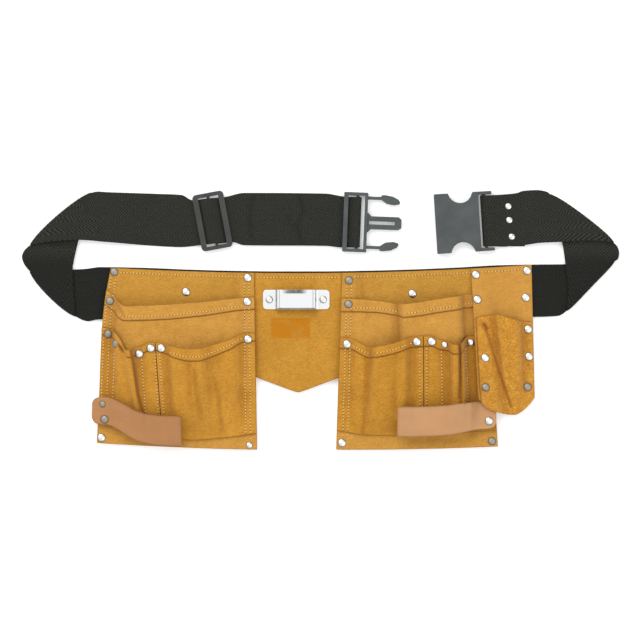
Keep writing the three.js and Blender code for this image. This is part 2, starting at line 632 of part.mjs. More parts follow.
// Male buckle: a frame with two bars, two sprung side prongs and a slotted middle prong
function maleBuckle() {
  const back = -14.6;
  const bodyBar = 7.4;
  const front = bodyBar + BUCKLE_ARM;
  const top = MALE_THICKNESS;
  const overWebbing = 2 * WEBBING_STEP + CLEARANCE;
  const clear = INSIDE;
  const arm = INSIDE - 3.8;
  const prong = [
    [front - 1, arm],
    [front + 14, arm],
    [front + 20, arm - 4],
    [front + 28, arm - 5],
    [front + 33, arm - 4],
    [front + 34, arm - 2],
    [front + 32, arm + 1],
    [front + 26, arm + 4],
    [front + 18, arm + 5.2],
    [front + 14.5, arm + 5],
    [front + 13.5, arm + BUCKLE_ARM],
    [front - 1, arm + BUCKLE_ARM],
  ];
  const middle = [
    [front - 1, -10.5],
    [front + 1, -10],
    [front + 4, -6.8],
    [front + 33, -6.8],
    [front + 36, -4.5],
    [front + 36, 4.5],
    [front + 33, 6.8],
    [front + 4, 6.8],
    [front + 1, 10],
    [front - 1, 10.5],
  ];
  const low = (MALE_THICKNESS - PRONG_THICKNESS) / 2;
  const high = low + PRONG_THICKNESS;
  const body = join(
    box(back, front, INSIDE, OUTSIDE, 0, top),
    box(back, front, -OUTSIDE, -INSIDE, 0, top),
    box(bodyBar, front, -OUTSIDE, OUTSIDE, 0, top),
    box(back, back + 1.4 * BUCKLE_ARM, -OUTSIDE, OUTSIDE, overWebbing, top),
    roundBar(0, maleBarZ, BAR_RADIUS, 2 * clear + BUCKLE_ARM),
    plate(outline(prong), low, high),
    plate(outline(mirrored(prong)), low, high),
    plate(outline(middle), low, high),
  );
  return cut(body, box(front + 2, front + 29, -1.7, 1.7, -1, top + 1))
    .rotateZ(radians(MALE_TILT))
    .translate(maleX, UPPER_STRIP_Y - MALE_SAG, 0);
}
pieces.buckle_male = maleBuckle();

// Female buckle: a flat hollow socket, open at the front and at a round notch in either side
function femaleBuckle() {
  const back = 8.2;
  const bodyBack = -FEMALE_BODY_GAP;
  const bodyFront = bodyBack - FEMALE_BODY;
  const top = FEMALE_THICKNESS;
  const wall = FEMALE_WALL;
  const notchX = (bodyFront + bodyBack) / 2 + 4.4;
  const notchY = OUTSIDE + NOTCH_RADIUS - NOTCH_DEPTH;
  const notch = (y) =>
    new THREE.CylinderGeometry(NOTCH_RADIUS, NOTCH_RADIUS, 2 * top, 24)
      .rotateX(Math.PI / 2)
      .translate(notchX, y, top / 2);
  const body = join(
    box(bodyFront, bodyBack, -OUTSIDE, OUTSIDE, 0, top),
    box(bodyBack - 1, back, INSIDE, OUTSIDE, 1, top - 1),
    box(bodyBack - 1, back, -OUTSIDE, -INSIDE, 1, top - 1),
    roundBar(0, femaleBarZ, BAR_RADIUS, 2 * INSIDE + BUCKLE_ARM),
  );
  return cut(
    body,
    box(bodyFront - 1, bodyBack - 2.5, -OUTSIDE + wall, OUTSIDE - wall, wall, top - wall),
    notch(notchY),
    notch(-notchY),
  )
    .rotateZ(radians(BUCKLE_TILT))
    .translate(femaleX, UPPER_STRIP_Y - FEMALE_SAG, 0);
}
pieces.buckle_female = femaleBuckle();

// Slide adjuster: a flat frame with a round middle bar
function slideAdjuster() {
  const x = SLIDER_WIDTH / 2;
  const y = SLIDER_LENGTH / 2;
  const frame = cut(
    plate(roundedRectangle(SLIDER_WIDTH, SLIDER_LENGTH, 4), 0, SLIDER_THICKNESS, 3),
    box(-x + SLIDER_RAIL, x - SLIDER_RAIL, -y + SLIDER_END, y - SLIDER_END, -1, 9),
  ).translate(0, 0, sliderBottom);
  return join(frame, roundBar(0, sliderBarZ, BAR_RADIUS, SLIDER_LENGTH - SLIDER_END))
    .rotateZ(radians(SLIDER_TILT))
    .translate(sliderX, UPPER_STRIP_Y - SLIDER_SAG, 0);
}
pieces.slide_adjuster = slideAdjuster();

// The lowest straight line from y0 to y1 that clears what lies between x0 and x1
function seat(under, x0, x1, y0, y1) {
  const steps = 8;
  const spare = (y1 - y0) * 0.15;
  const heights = Array.from({ length: steps + 1 }, (_, i) => {
    const y = lerp(y0 - spare, y1 + spare, i / steps);
    const shares = [0, 0.1, 0.2, 0.3, 0.4, 0.5, 0.6, 0.7, 0.8, 0.9, 1];
    return Math.max(...shares.map((share) => surface(under, lerp(x0, x1, share), y, true)));
  });
  const line = (i) => lerp(heights[0], heights[steps], i / steps);
  const lift = Math.max(...heights.map((height, i) => height - line(i)));
  const inset = (0.15 / 1.3) * steps;
  return [inset, steps - inset].map((i) => line(i) + lift + 2 * CLEARANCE);
}

// Hammer loop: a strap doubled back on itself, both ends riveted at the pouch's outer edge.
// along: share of the loop's length from the tab; drop: share of the sag; wide: share of the
// width; gap: share of the gap between the two layers.
const LOOP_LINES = [
  { along: 0.0, drop: 0, wide: 0.5, gap: 0 },
  { along: 0.03, drop: 0, wide: 0.82, gap: 0 },
  { along: 0.1, drop: 0, wide: 0.93, gap: 0 },
  { along: 0.15, drop: 0, wide: 0.94, gap: 0 },
  { along: 0.2, drop: 0.04, wide: 0.95, gap: 0.08 },
  { along: 0.3, drop: 0.24, wide: 0.97, gap: 0.5 },
  { along: 0.4, drop: 0.5, wide: 1.0, gap: 0.9 },
  { along: 0.52, drop: 0.78, wide: 1.0, gap: 1.0 },
  { along: 0.66, drop: 0.94, wide: 1.0, gap: 1.0 },
  { along: 0.8, drop: 1.0, wide: 1.0, gap: 1.0 },
  { along: 0.92, drop: 1.0, wide: 1.0, gap: 1.0 },
];
function hammerLoop(side, tab, length, drop, under) {
  const straight = length - (LOOP_GAP + LOOP_LEATHER) / 2;
  const at = (i) => {
    const { along } = LOOP_LINES[clamp(i, 0, LOOP_LINES.length - 1)];
    return tab.x - side * along * straight;
  };
  const rows = LOOP_LINES.map(({ drop: share, wide, gap }, i) => {
    const y = tab.y - drop * share;
    const half = (LOOP_WIDTH * wide) / 2;
    const full = LOOP_WIDTH / 2;
    const past = i === LOOP_LINES.length - 1 ? -side * (length - straight) : 0;
    const [low, high] = seat(under, at(i - 1), at(i + 1) + past, y - full, y + full);
    return { x: at(i), y, half, low, high, between: CLEARANCE + LOOP_GAP * gap };
  });
  const end = rows.at(-1);
  const line = (row, layer, push = 0) => {
    const lift = LOOP_LEATHER / 2 + layer * (LOOP_LEATHER + row.between);
    const x = row.x - side * push;
    return {
      a: new THREE.Vector3(x, row.y + row.half, row.high + lift),
      b: new THREE.Vector3(x, row.y - row.half, row.low + lift),
    };
  };
  const radius = (LOOP_LEATHER + end.between) / 2;
  const bend = [30, 60, 90, 120, 150].map((degrees) => {
    const turn = radians(degrees);
    return line(end, (1 - Math.cos(turn)) / 2, radius * Math.sin(turn));
  });
  const back = rows.map((row) => line(row, 0));
  const front = rows.map((row) => line(row, 1)).reverse();
  return strapGeometry([...back, ...bend, ...front], LOOP_LEATHER);
}
const pouchLayers = (name) => [
  pieces[`${name}_backing`],
  pieces[`${name}_main_pocket`],
  pieces[`${name}_front_pocket`],
  pieces[`${name}_tool_sleeve`],
];
const leftTab = pouchPoint(-1, 1, 0.185).add(new THREE.Vector3(-LOOP_OUT, 0, 0));
const rightTab = pouchPoint(1, 1, 0.175);
pieces.left_hammer_loop = hammerLoop(
  -1,
  leftTab,
  LEFT_LOOP_LENGTH,
  LEFT_LOOP_DROP,
  pouchLayers("left"),
);
pieces.right_hammer_loop = hammerLoop(
  1,
  rightTab,
  RIGHT_LOOP_LENGTH,
  RIGHT_LOOP_DROP,
  pouchLayers("right"),
);

// Rivets: a domed cap, a shank through the named pieces and a spread back. The part's holes are
// punched afterwards. small: share of the usual size.
const rivets = [];
function addRivet(name, x, y, through, { small = 1, tilted = false } = {}) {
  const layers = through.map((piece) => pieces[piece]);
  const frame = new THREE.Object3D();
  if (tilted) {
    ray.set(new THREE.Vector3(x, y, FAR), new THREE.Vector3(0, 0, -1));
    const hits = layers.flatMap((g) => ray.intersectObject(new THREE.Mesh(g), false));
    const top = hits.sort((a, b) => a.distance - b.distance)[0];
    const up = top.face.normal.clone();
    frame.quaternion.setFromUnitVectors(new THREE.Vector3(0, 0, 1), up);
    frame.position.copy(top.point);
  } else {
    frame.position.set(x, y, 0);
  }
  frame.updateMatrixWorld(true);
  const inward = layers.map((g) => g.clone().applyMatrix4(frame.matrixWorld.clone().invert()));
  const cap = CAP_RADIUS * small;
  const rim = Array.from({ length: 16 }, (_, i) => {
    const turn = (Math.PI * i) / 8;
    return [Math.cos(turn), Math.sin(turn)];
  });
  const around = [[0, 0], ...rim, ...rim.map(([c, s]) => [c / 2, s / 2])];
  const highs = around.map(([c, s]) => surface(inward, c * cap, s * cap, true, -FAR));
  const lows = around.map(([c, s]) => surface(inward, c * BACK_RADIUS, s * BACK_RADIUS, false));
  const top = Math.max(...highs) + CLEARANCE;
  const bottom = Math.min(...lows) - CLEARANCE;
  const profile = [
    [0, bottom - BACK_THICKNESS],
    [BACK_RADIUS * small, bottom - BACK_THICKNESS],
    [SHANK_RADIUS, bottom],
    [SHANK_RADIUS, top],
    [cap, top],
    [cap * 0.72, top + CAP_DOME * 0.7 * small],
    [0, top + CAP_DOME * small],
  ].map(([radius, z]) => new THREE.Vector2(radius, z));
  const geometry = new THREE.LatheGeometry(profile, 8).rotateX(Math.PI / 2);
  geometry.applyMatrix4(frame.matrixWorld);
  rivets.push({ name, frame: frame.matrixWorld, bottom, top });
  pieces[`rivet_${name}`] = facingOut(geometryOf(solidOf(geometry)));
}
const pouchRivet = (name, side, across, up, layers, options) => {
  const p = pouchPoint(side, across, up);
  addRivet(name, p.x, p.y, layers, options);
};

// On the left pouch, from the top edge down, then the loop's tab and the bottom corners
const LM = "left_main_pocket";
const LF = "left_front_pocket";
const LS = "left_tool_sleeve";
const LB = "left_backing";
pouchRivet("left_1", -1, 0.97, 0.976, [LB, "webbing"]);
pouchRivet("left_2", -1, 0.471, 0.881, [LB, "webbing"]);
pouchRivet("left_3", -1, 0.046, 0.97, [LB, "bib", "webbing"]);
pouchRivet("left_4", -1, 0.051, 0.835, [LM, LB, "bib", "webbing"]);
pouchRivet("left_5", -1, 0.049, 0.624, [LF, LM, LB, "bib"]);
pouchRivet("left_6", -1, 0.968, 0.81, [LM, LB, "webbing"]);
pouchRivet("left_7", -1, 0.961, 0.623, [LS, LM, LB]);
pouchRivet("left_8", -1, 0.905, 0.57, [LS, LM], { tilted: true });
pouchRivet("left_9", -1, 0.757, 0.521, [LS, LM]);
pouchRivet("left_10", -1, 0.685, 0.556, [LS, LM]);
pouchRivet("left_11", -1, 0.618, 0.558, [LF, LM]);
pouchRivet("left_12", -1, 0.974, 0.224, ["left_hammer_loop", LS, LM, LB], { small: 0.8 });
pouchRivet("left_13", -1, 0.957, 0.139, ["left_hammer_loop", LS, LM, LB]);
pouchRivet("left_14", -1, 0.973, 0.032, [LM, LB]);
pouchRivet("left_15", -1, 0.048, 0.024, [LM, LB], { small: 0.75 });

// On the right pouch, in the same order
const RM = "right_main_pocket";
const RF = "right_front_pocket";
const RS = "right_tool_sleeve";
const RB = "right_backing";
pouchRivet("right_1", 1, 0.051, 0.955, [RB, "bib", "webbing"]);
pouchRivet("right_2", 1, 0.488, 0.872, [RB, "webbing"]);
pouchRivet("right_3", 1, 0.051, 0.821, [RM, RB, "bib", "webbing"]);
pouchRivet("right_4", 1, 0.048, 0.596, [RF, RM, RB, "bib"]);
pouchRivet("right_5", 1, 0.508, 0.602, [RF, RM]);
pouchRivet("right_6", 1, 0.606, 0.601, [RS, RM]);
pouchRivet("right_7", 1, 0.691, 0.581, [RS, RM], { small: 0.75 });
pouchRivet("right_8", 1, 0.866, 0.588, [RS, RM, RB], { small: 0.85 });
pouchRivet("right_9", 1, 0.952, 0.146, ["right_hammer_loop", RS, RM, RB]);
pouchRivet("right_10", 1, 0.034, 0.038, [RM, RB]);
pouchRivet("right_11", 1, 0.965, 0.032, [RM, RB]);
addRivet("clip_1", clipX - CLIP_LENGTH / 2 + CLIP_TAB / 2, clipY, ["tool_clip", "bib", "webbing"], {
  small: 0.9,
});
addRivet("clip_2", clipX + CLIP_LENGTH / 2 - CLIP_TAB / 2, clipY, ["tool_clip", "bib", "webbing"], {
  small: 0.9,
});
const beltRivetX = TIP - BELT_RIVETS_FROM_TIP;
addRivet("belt_1", beltRivetX - 1, UPPER_STRIP_Y + 14.5, ["webbing"], { small: 0.8 });
addRivet("belt_2", beltRivetX, UPPER_STRIP_Y, ["webbing"], { small: 0.8 });
addRivet("belt_3", beltRivetX + 2.6, UPPER_STRIP_Y - 17.4, ["webbing"], { small: 0.8 });

// Holster. across: share of the width at the top edge; foot: the same at the bottom;
// stand: how far the pouch bulges there; mouth, reach: how far down its mouth and the bottom
// edge lie, as shares of the height.
const HOLSTER_COLUMNS = [
  { across: 0.0, foot: 0.0, stand: 0, mouth: 0.34, reach: 0.873 },
  { across: 0.04, foot: 0.04, stand: 0, mouth: 0.335, reach: 0.897 },
  { across: 0.13, foot: 0.16, stand: 0.02, mouth: 0.325, reach: 0.945 },
  { across: 0.25, foot: 0.44, stand: 0.06, mouth: 0.318, reach: 0.985 },
  { across: 0.34, foot: 0.52, stand: 0.8, mouth: 0.32, reach: 0.993 },
  { across: 0.52, foot: 0.64, stand: 1.0, mouth: 0.34, reach: 0.998 },
  { across: 0.7, foot: 0.74, stand: 0.8, mouth: 0.36, reach: 0.985 },
  { across: 0.84, foot: 0.84, stand: 0.06, mouth: 0.375, reach: 0.958 },
  { across: 0.92, foot: 0.92, stand: 0, mouth: 0.38, reach: 0.93 },
  { across: 1.0, foot: 1.0, stand: 0, mouth: 0.385, reach: 0.893 },
];
const HOLSTER_ROWS = [
  { down: 0.0, stand: 0 },
  { down: 0.1, stand: 0 },
  { down: 0.22, stand: 0 },
  { down: "mouth", stand: 0.75 },
  { down: 0.48, stand: 1.0 },
  { down: 0.62, stand: 0.95 },
  { down: 0.76, stand: 0.7 },
  { down: 0.9, stand: 0.3 },
  { down: 1.0, stand: 0.0 },
];
const HOLSTER_MOUTH_ROW = 3;
function holsterPoint(across, foot, down) {
  const left = APRON_OFFSET + BIB_WIDTH / 2 + POUCH_TOP_WIDTH - HOLSTER_LAP;
  const share = lerp(across, foot, down);
  const width = lerp(HOLSTER_WIDTH, HOLSTER_FOOT_WIDTH, down);
  const x = left + HOLSTER_SLANT * down + share * width;
  return new THREE.Vector3(x, APRON_TOP + rise(x) - down * HOLSTER_HEIGHT, 0);
}

// A sheet laid over others: each corner of a cell clears all that lies under the cell, and
// the sheet falls away no steeper than slope
function laidOver(grid, under, slope) {
  const shares = [0, 0.25, 0.5, 0.75, 1];
  const cellTop = (r, c) => {
    const heights = shares.flatMap((down) =>
      shares.map((along) => {
        const p = grid[r][c].clone().lerp(grid[r][c + 1], along);
        p.lerp(grid[r + 1][c].clone().lerp(grid[r + 1][c + 1], along), down);
        return surface(under, p.x, p.y, true);
      }),
    );
    return Math.max(UNDERSIDE - CLEARANCE, ...heights);
  };
  for (const row of grid) row.forEach((p) => p.setZ(0));
  for (let r = 0; r + 1 < grid.length; r++) {
    for (let c = 0; c + 1 < grid[r].length; c++) {
      const top = cellTop(r, c) + CLEARANCE;
      const corners = [grid[r][c], grid[r][c + 1], grid[r + 1][c], grid[r + 1][c + 1]];
      for (const p of corners) p.setZ(Math.max(p.z, top));
    }
  }
  const all = grid.flat();
  const settled = all.map((p) =>
    Math.max(...all.map((q) => q.z - slope * Math.hypot(p.x - q.x, p.y - q.y))),
  );
  all.forEach((p, i) => p.setZ(settled[i]));
  return grid;
}

function holsterGrids() {
  const under = [
    pieces.webbing,
    ...pouchLayers("right"),
    pieces.right_hammer_loop,
  ];
  const flat = HOLSTER_ROWS.map(({ down }) =>
    HOLSTER_COLUMNS.map(({ across, foot, mouth, reach }) =>
      holsterPoint(across, foot, down === "mouth" ? mouth : down * reach),
    ),
  );
  const back = laidOver(flat, under, 0.25);
  const pouch = back.map((row, r) =>
    row.map((p, c) => {
      const bulge = HOLSTER_DEPTH * HOLSTER_COLUMNS[c].stand * HOLSTER_ROWS[r].stand;
      return p.clone().setZ(p.z + LEATHER_STEP + bulge);
    }),
  );
  const last = HOLSTER_COLUMNS.length - 1;
  return {
    back,
    pouch: part(pouch, [HOLSTER_MOUTH_ROW, HOLSTER_ROWS.length - 1], [1, last]),
  };
}
const holster = holsterGrids();
pieces.holster_back = leatherSheet(holster.back);
pieces.holster_pouch = leatherSheet(holster.pouch);

const HB = "holster_back";
const HP = "holster_pouch";
function holsterRivet(name, across, down, layers) {
  const p = holsterPoint(across, across, down);
  addRivet(name, p.x, p.y, layers);
}
holsterRivet("holster_1", 0.08, 0.044, [HB, RB, "webbing"]);
holsterRivet("holster_2", 0.08, 0.21, [HB, RM, RB, "webbing"]);
holsterRivet("holster_3", 0.923, 0.038, [HB, "webbing"]);
holsterRivet("holster_4", 0.89, 0.218, [HB, "webbing"]);
holsterRivet("holster_5", 0.917, 0.43, [HP, HB]);
holsterRivet("holster_6", 0.918, 0.614, [HP, HB]);
holsterRivet("holster_7", 0.88, 0.817, [HP, HB]);
holsterRivet("holster_8", 0.158, 0.604, [HP, HB, RS, RM, RB]);
holsterRivet("holster_9", 0.14, 0.8, [HP, HB, RS, RM, RB]);

// Punch a square hole for every shank through the pieces that it passes
function punched(name, geometry) {
  const bounds = new THREE.Box3().setFromBufferAttribute(geometry.attributes.position);
  const half = SHANK_RADIUS + CLEARANCE;
  const cutters = rivets
    .map(({ frame, bottom, top }) =>
      box(-half, half, -half, half, bottom - 0.1, top + 0.1).applyMatrix4(frame),
    )
    .filter((cutter) => {
      const reach = new THREE.Box3().setFromBufferAttribute(cutter.attributes.position);
      return bounds.intersectsBox(reach);
    });
  return cutters.length > 0 ? cut(geometry, ...cutters) : geometry;
}

const MATERIALS = {
  leather: { color: 0xc98f3c, roughness: 0.95, metalness: 0 },
  loop_leather: { color: 0xc8946a, roughness: 0.7, metalness: 0 },
  webbing: { color: 0x2b2c26, roughness: 0.95, metalness: 0 },
  plastic: { color: 0x3a3f43, roughness: 0.45, metalness: 0 },
  steel: { color: 0xc9cbcd, roughness: 0.2, metalness: 1 },
};
function materialOf(name) {
  if (name.startsWith("rivet_") || name === "tool_clip") return MATERIALS.steel;
  if (name.startsWith("buckle_") || name === "slide_adjuster") return MATERIALS.plastic;
  if (name.endsWith("hammer_loop")) return MATERIALS.loop_leather;
  return name === "webbing" ? MATERIALS.webbing : MATERIALS.leather;
}

const apron = new THREE.Group();
for (const [name, geometry] of Object.entries(pieces)) {
  const soft = !["steel", "plastic"].some((slot) => materialOf(name) === MATERIALS[slot]);
  const shape = soft || name === "tool_clip" ? punched(name, geometry) : geometry;
  const mesh = new THREE.Mesh(shape, new THREE.MeshStandardMaterial(materialOf(name)));
  mesh.name = name;
  apron.add(mesh);
}

// Origin: the middle of the bounding box, at its bottom
const bounds = new THREE.Box3();
for (const mesh of apron.children) {
  bounds.union(new THREE.Box3().setFromBufferAttribute(mesh.geometry.attributes.position));
}
const middle = bounds.getCenter(new THREE.Vector3());
for (const mesh of apron.children) {
  mesh.geometry.translate(-middle.x, -middle.y, -bounds.min.z);
}

export default apron;
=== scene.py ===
"""Looks for a carpenter's nail apron lying flat on a white table, seen from straight above.

The leather sheets, the web belt and the hammer loops are laid from the same tables as the CAD
solids, in millimetres in the apron's own frame, and are moved to the row frame at the end.
"""

import math

import bmesh
import bpy
import numpy as np
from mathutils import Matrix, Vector
from mathutils.bvhtree import BVHTree


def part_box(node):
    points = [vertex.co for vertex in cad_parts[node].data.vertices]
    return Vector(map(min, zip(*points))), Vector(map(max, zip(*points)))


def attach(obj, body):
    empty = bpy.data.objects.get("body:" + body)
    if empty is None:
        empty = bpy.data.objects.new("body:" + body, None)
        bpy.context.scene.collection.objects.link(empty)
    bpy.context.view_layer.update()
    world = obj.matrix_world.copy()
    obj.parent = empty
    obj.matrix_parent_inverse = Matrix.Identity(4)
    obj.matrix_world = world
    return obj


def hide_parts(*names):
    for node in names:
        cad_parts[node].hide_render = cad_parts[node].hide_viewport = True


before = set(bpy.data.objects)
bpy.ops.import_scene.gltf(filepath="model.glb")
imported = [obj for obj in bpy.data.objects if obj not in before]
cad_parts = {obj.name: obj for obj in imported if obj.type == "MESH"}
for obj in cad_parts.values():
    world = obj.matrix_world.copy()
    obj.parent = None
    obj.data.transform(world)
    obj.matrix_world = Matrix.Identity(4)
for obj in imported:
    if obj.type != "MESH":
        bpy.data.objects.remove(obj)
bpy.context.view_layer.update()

# Sizes, as in the CAD source, in millimetres
MM = 0.001
LEATHER = 2.0
LOOP_LEATHER = 2.4
CLEARANCE = 0.3
WEBBING_WIDTH = 55
WEBBING_THICKNESS = 1.8
WEBBING_SHOW = 1.6
FOLD_GAP = 1.4
APRON_OFFSET = -23
TOP_RISE = 8.4
TOP_REACH = 241
POUCH_HEIGHT = 186
POUCH_TOP_WIDTH = 151
LEFT_EDGES = {"inner": 2.8, "outer": 14.8, "bow": 4, "tilt": 0.8}
RIGHT_EDGES = {"inner": 6, "outer": 13, "bow": 0, "tilt": -2.8}
MAIN_DEPTH = 12
FRONT_DEPTH = 12
BIB_WIDTH = 92
BIB_HEIGHT = 126
BIB_POINT = 17
BIB_LAP = 13
HOLSTER_WIDTH = 64.5
HOLSTER_FOOT_WIDTH = 59
HOLSTER_HEIGHT = 157
HOLSTER_LAP = 16
HOLSTER_SLANT = 9
HOLSTER_DEPTH = 13
LOOP_WIDTH = 31
LEFT_LOOP_LENGTH = 100
RIGHT_LOOP_LENGTH = 111
LOOP_GAP = 8
LEFT_LOOP_DROP = 20.5
RIGHT_LOOP_DROP = 6
LOOP_OUT = 6
CAP_RADIUS = 4.3
CAP_DOME = 1.7
BACK_THICKNESS = 1.0
CLIP_LENGTH = 70
CLIP_TAB = 13.5
CLIP_X = APRON_OFFSET - 2
CLIP_Y = -28
BELT_SPAN = 628
UPPER_STRIP_Y = 55.5
SLIDER_FROM_TIP = 201
MALE_FROM_TIP = 353
FEMALE_FROM_TIP = 140.5
BELT_RIVETS_FROM_TIP = 115
BELT_TAIL = 42
BAR_RADIUS = 1.7
BUCKLE_TILT = 3.6
MALE_TILT = -2.2
MALE_SAG = 2.2
SLIDER_SAG = 1
SLIDER_WIDTH = 33
SLIDER_RAIL = 5.8
SLIDER_THICKNESS = 3
SLIDER_TILT = 10.6
SQUEEZE = 0.86
UNDERSIDE = BACK_THICKNESS + CLEARANCE
WEBBING_STEP = WEBBING_THICKNESS + CLEARANCE
LEATHER_STEP = LEATHER + CLEARANCE
WEBBING_BOTTOM = WEBBING_SHOW - WEBBING_WIDTH
BIB_CORNER = -BIB_HEIGHT + BIB_POINT
LIP_UP = 0.58

# The four sheets of a pouch, and how far the closest rows of a grid lie from its cut edge
POUCH_PARTS = ("backing", "main_pocket", "front_pocket", "tool_sleeve")
EDGE_STEPS = (0.35, 0.9)
# The step at the edge of a folded hem, and how much higher the hem lies
HEM_STEP = 0.3
HEM_RISE = 1.1
# How far the backing takes to climb onto what lies under it, and how far the pockets take
CLIMB_NEAR, CLIMB_FAR = 6.5, 26
CLIMB_END = -0.8

# The camera's frame: the picture's pixels, millimetres a pixel, and its middle. The plane that
# it is measured in lies at VIEW_PLANE, and the camera stands VIEW_HEIGHT metres up.
PIXELS, PIXEL = 641, 1.05
VIEW_WIDTH = PIXELS * PIXEL * MM
VIEW_MIDDLE = (0.5, -50.0)
VIEW_HEIGHT = 3.0
VIEW_PLANE = 8
SENSOR = 36.0
WORLD_LIGHT = 0.82

# Where the apron's own frame lies in the row frame, from the bib's corner
bib_low, bib_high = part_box("bib")


def rise(x):
    """How far the apron's top edge rises away from the bib's middle."""
    return TOP_RISE * ((np.asarray(x, float) - APRON_OFFSET) / TOP_REACH) ** 2


SHIFT = np.array(
    [
        bib_low.x / MM - (APRON_OFFSET - BIB_WIDTH / 2 - BIB_LAP),
        bib_high.y / MM - float(rise(APRON_OFFSET + BIB_WIDTH / 2 + BIB_LAP)),
        bib_low.z / MM - (UNDERSIDE + WEBBING_STEP),
    ]
)


# Numbers
def smooth(xs, ys):
    """A smooth curve through points, which never overshoots them."""
    xs, ys = np.array(xs, float), np.array(ys, float)
    h = np.diff(xs)
    d = np.diff(ys) / h
    m = np.zeros_like(ys)
    m[0], m[-1] = d[0], d[-1]
    for i in range(1, len(xs) - 1):
        if d[i - 1] * d[i] > 0:
            w1, w2 = 2 * h[i] + h[i - 1], h[i] + 2 * h[i - 1]
            m[i] = (w1 + w2) / (w1 / d[i - 1] + w2 / d[i])

    def at(x):
        x = np.clip(x, xs[0], xs[-1])
        i = np.clip(np.searchsorted(xs, x, side="right") - 1, 0, len(xs) - 2)
        t = (x - xs[i]) / h[i]
        return (
            (2 * t**3 - 3 * t**2 + 1) * ys[i]
            + (t**3 - 2 * t**2 + t) * h[i] * m[i]
            + (3 * t**2 - 2 * t**3) * ys[i + 1]
            + (t**3 - t**2) * h[i] * m[i + 1]
        )

    return at


def ramp(low, high, x):
    """From 0 at low to 1 at high, level at both ends."""
    t = np.clip((np.asarray(x, float) - low) / (high - low), 0, 1)
    return t * t * (3 - 2 * t)


class Waves:
    """Soft random undulation, about 0 to 1, the same at each run."""

    def __init__(self, seed, shortest, longest, count=28):
        rng = np.random.default_rng(seed)
        length = np.exp(rng.uniform(math.log(shortest), math.log(longest), count))
        turn = rng.uniform(0, 2 * math.pi, count)
        self.k = 2 * math.pi / length
        self.c, self.s = np.cos(turn), np.sin(turn)
        self.phase = rng.uniform(0, 2 * math.pi, count)
        self.size = length / length.mean()

    def __call__(self, x, y):
        x, y = np.asarray(x, float)[..., None], np.asarray(y, float)[..., None]
        wave = np.sin(self.k * (self.c * x + self.s * y) + self.phase) * self.size
        total = wave.sum(-1) / math.sqrt((self.size**2).sum() / 2)
        return np.clip(0.5 + total / 4, 0, 1)


def blurred(grid, cells):
    """A grid softened over a number of cells each way."""
    reach = max(1, int(math.ceil(2.5 * cells)))
    weight = np.exp(-0.5 * (np.arange(-reach, reach + 1) / cells) ** 2)
    weight /= weight.sum()
    for axis in range(grid.ndim):
        pad = [(0, 0)] * grid.ndim
        pad[axis] = (reach, reach)
        wide = np.pad(grid, pad, mode="edge")
        n = grid.shape[axis]
        grid = sum(
            w * np.take(wide, np.arange(i, i + n), axis=axis) for i, w in enumerate(weight)
        )
    return grid


def shares(length, step, ends=EDGE_STEPS):
    """Even shares of a length, with close ones near both ends for a rounded edge."""
    near = np.array([0, *ends]) / length
    n = max(2, int(round(length / step)))
    middle = np.linspace(near[-1], 1 - near[-1], n)
    return np.concatenate([near[:-1], middle, 1 - near[:-1][::-1]])


# Meshes
def row_frame(points):
    """Points of the apron's own frame in metres in the row frame."""
    return (np.asarray(points, float) + SHIFT) * MM


def shell_faces(rows, columns):
    """Faces of a closed sheet whose lower grid comes before its upper one."""
    n = rows * columns
    index = np.arange(n).reshape(rows, columns)
    a, b, c, d = index[:-1, :-1], index[:-1, 1:], index[1:, 1:], index[1:, :-1]
    top = np.stack([a, b, c, d], -1).reshape(-1, 4) + n
    bottom = np.stack([a, d, c, b], -1).reshape(-1, 4)
    ring = np.concatenate([index[0, :-1], index[:-1, -1], index[-1, :0:-1], index[:0:-1, 0]])
    after = np.roll(ring, -1)
    side = np.stack([ring, after, after + n, ring + n], -1)
    return np.concatenate([top, bottom, side])


def add_mesh(name, vertices, faces, material, attributes=None, sharp=50):
    """A mesh object from points in the row frame."""
    mesh = bpy.data.meshes.new(name)
    mesh.from_pydata(np.asarray(vertices).tolist(), [], [list(map(int, f)) for f in faces])
    mesh.update()
    mesh.shade_smooth()
    if sharp:
        mesh.set_sharp_from_angle(angle=math.radians(sharp))
    for key, values in (attributes or {}).items():
        mesh.attributes.new(key, "FLOAT", "POINT").data.foreach_set(
            "value", np.asarray(values, np.float32).ravel()
        )
    mesh.materials.append(material)
    piece = bpy.data.objects.new(name, mesh)
    bpy.context.scene.collection.objects.link(piece)
    return piece


def volume(vertices, faces):
    v = np.asarray(vertices)
    total = 0.0
    for k in range(1, faces.shape[1] - 1):
        a, b, c = v[faces[:, 0]], v[faces[:, k]], v[faces[:, k + 1]]
        total += (a * np.cross(b, c)).sum() / 6
    return total


flat_sizes = {}  # width, length and area of each sheet, measured along it


def ring_faces(start, rings, n):
    """Quads between rings of n points that follow one another from a start."""
    firsts = range(start, start + (rings - 1) * n, n)
    quads = ((a + j, a + (j + 1) % n) for a in firsts for j in range(n))
    return [(p, q, q + n, p + n) for p, q in quads]


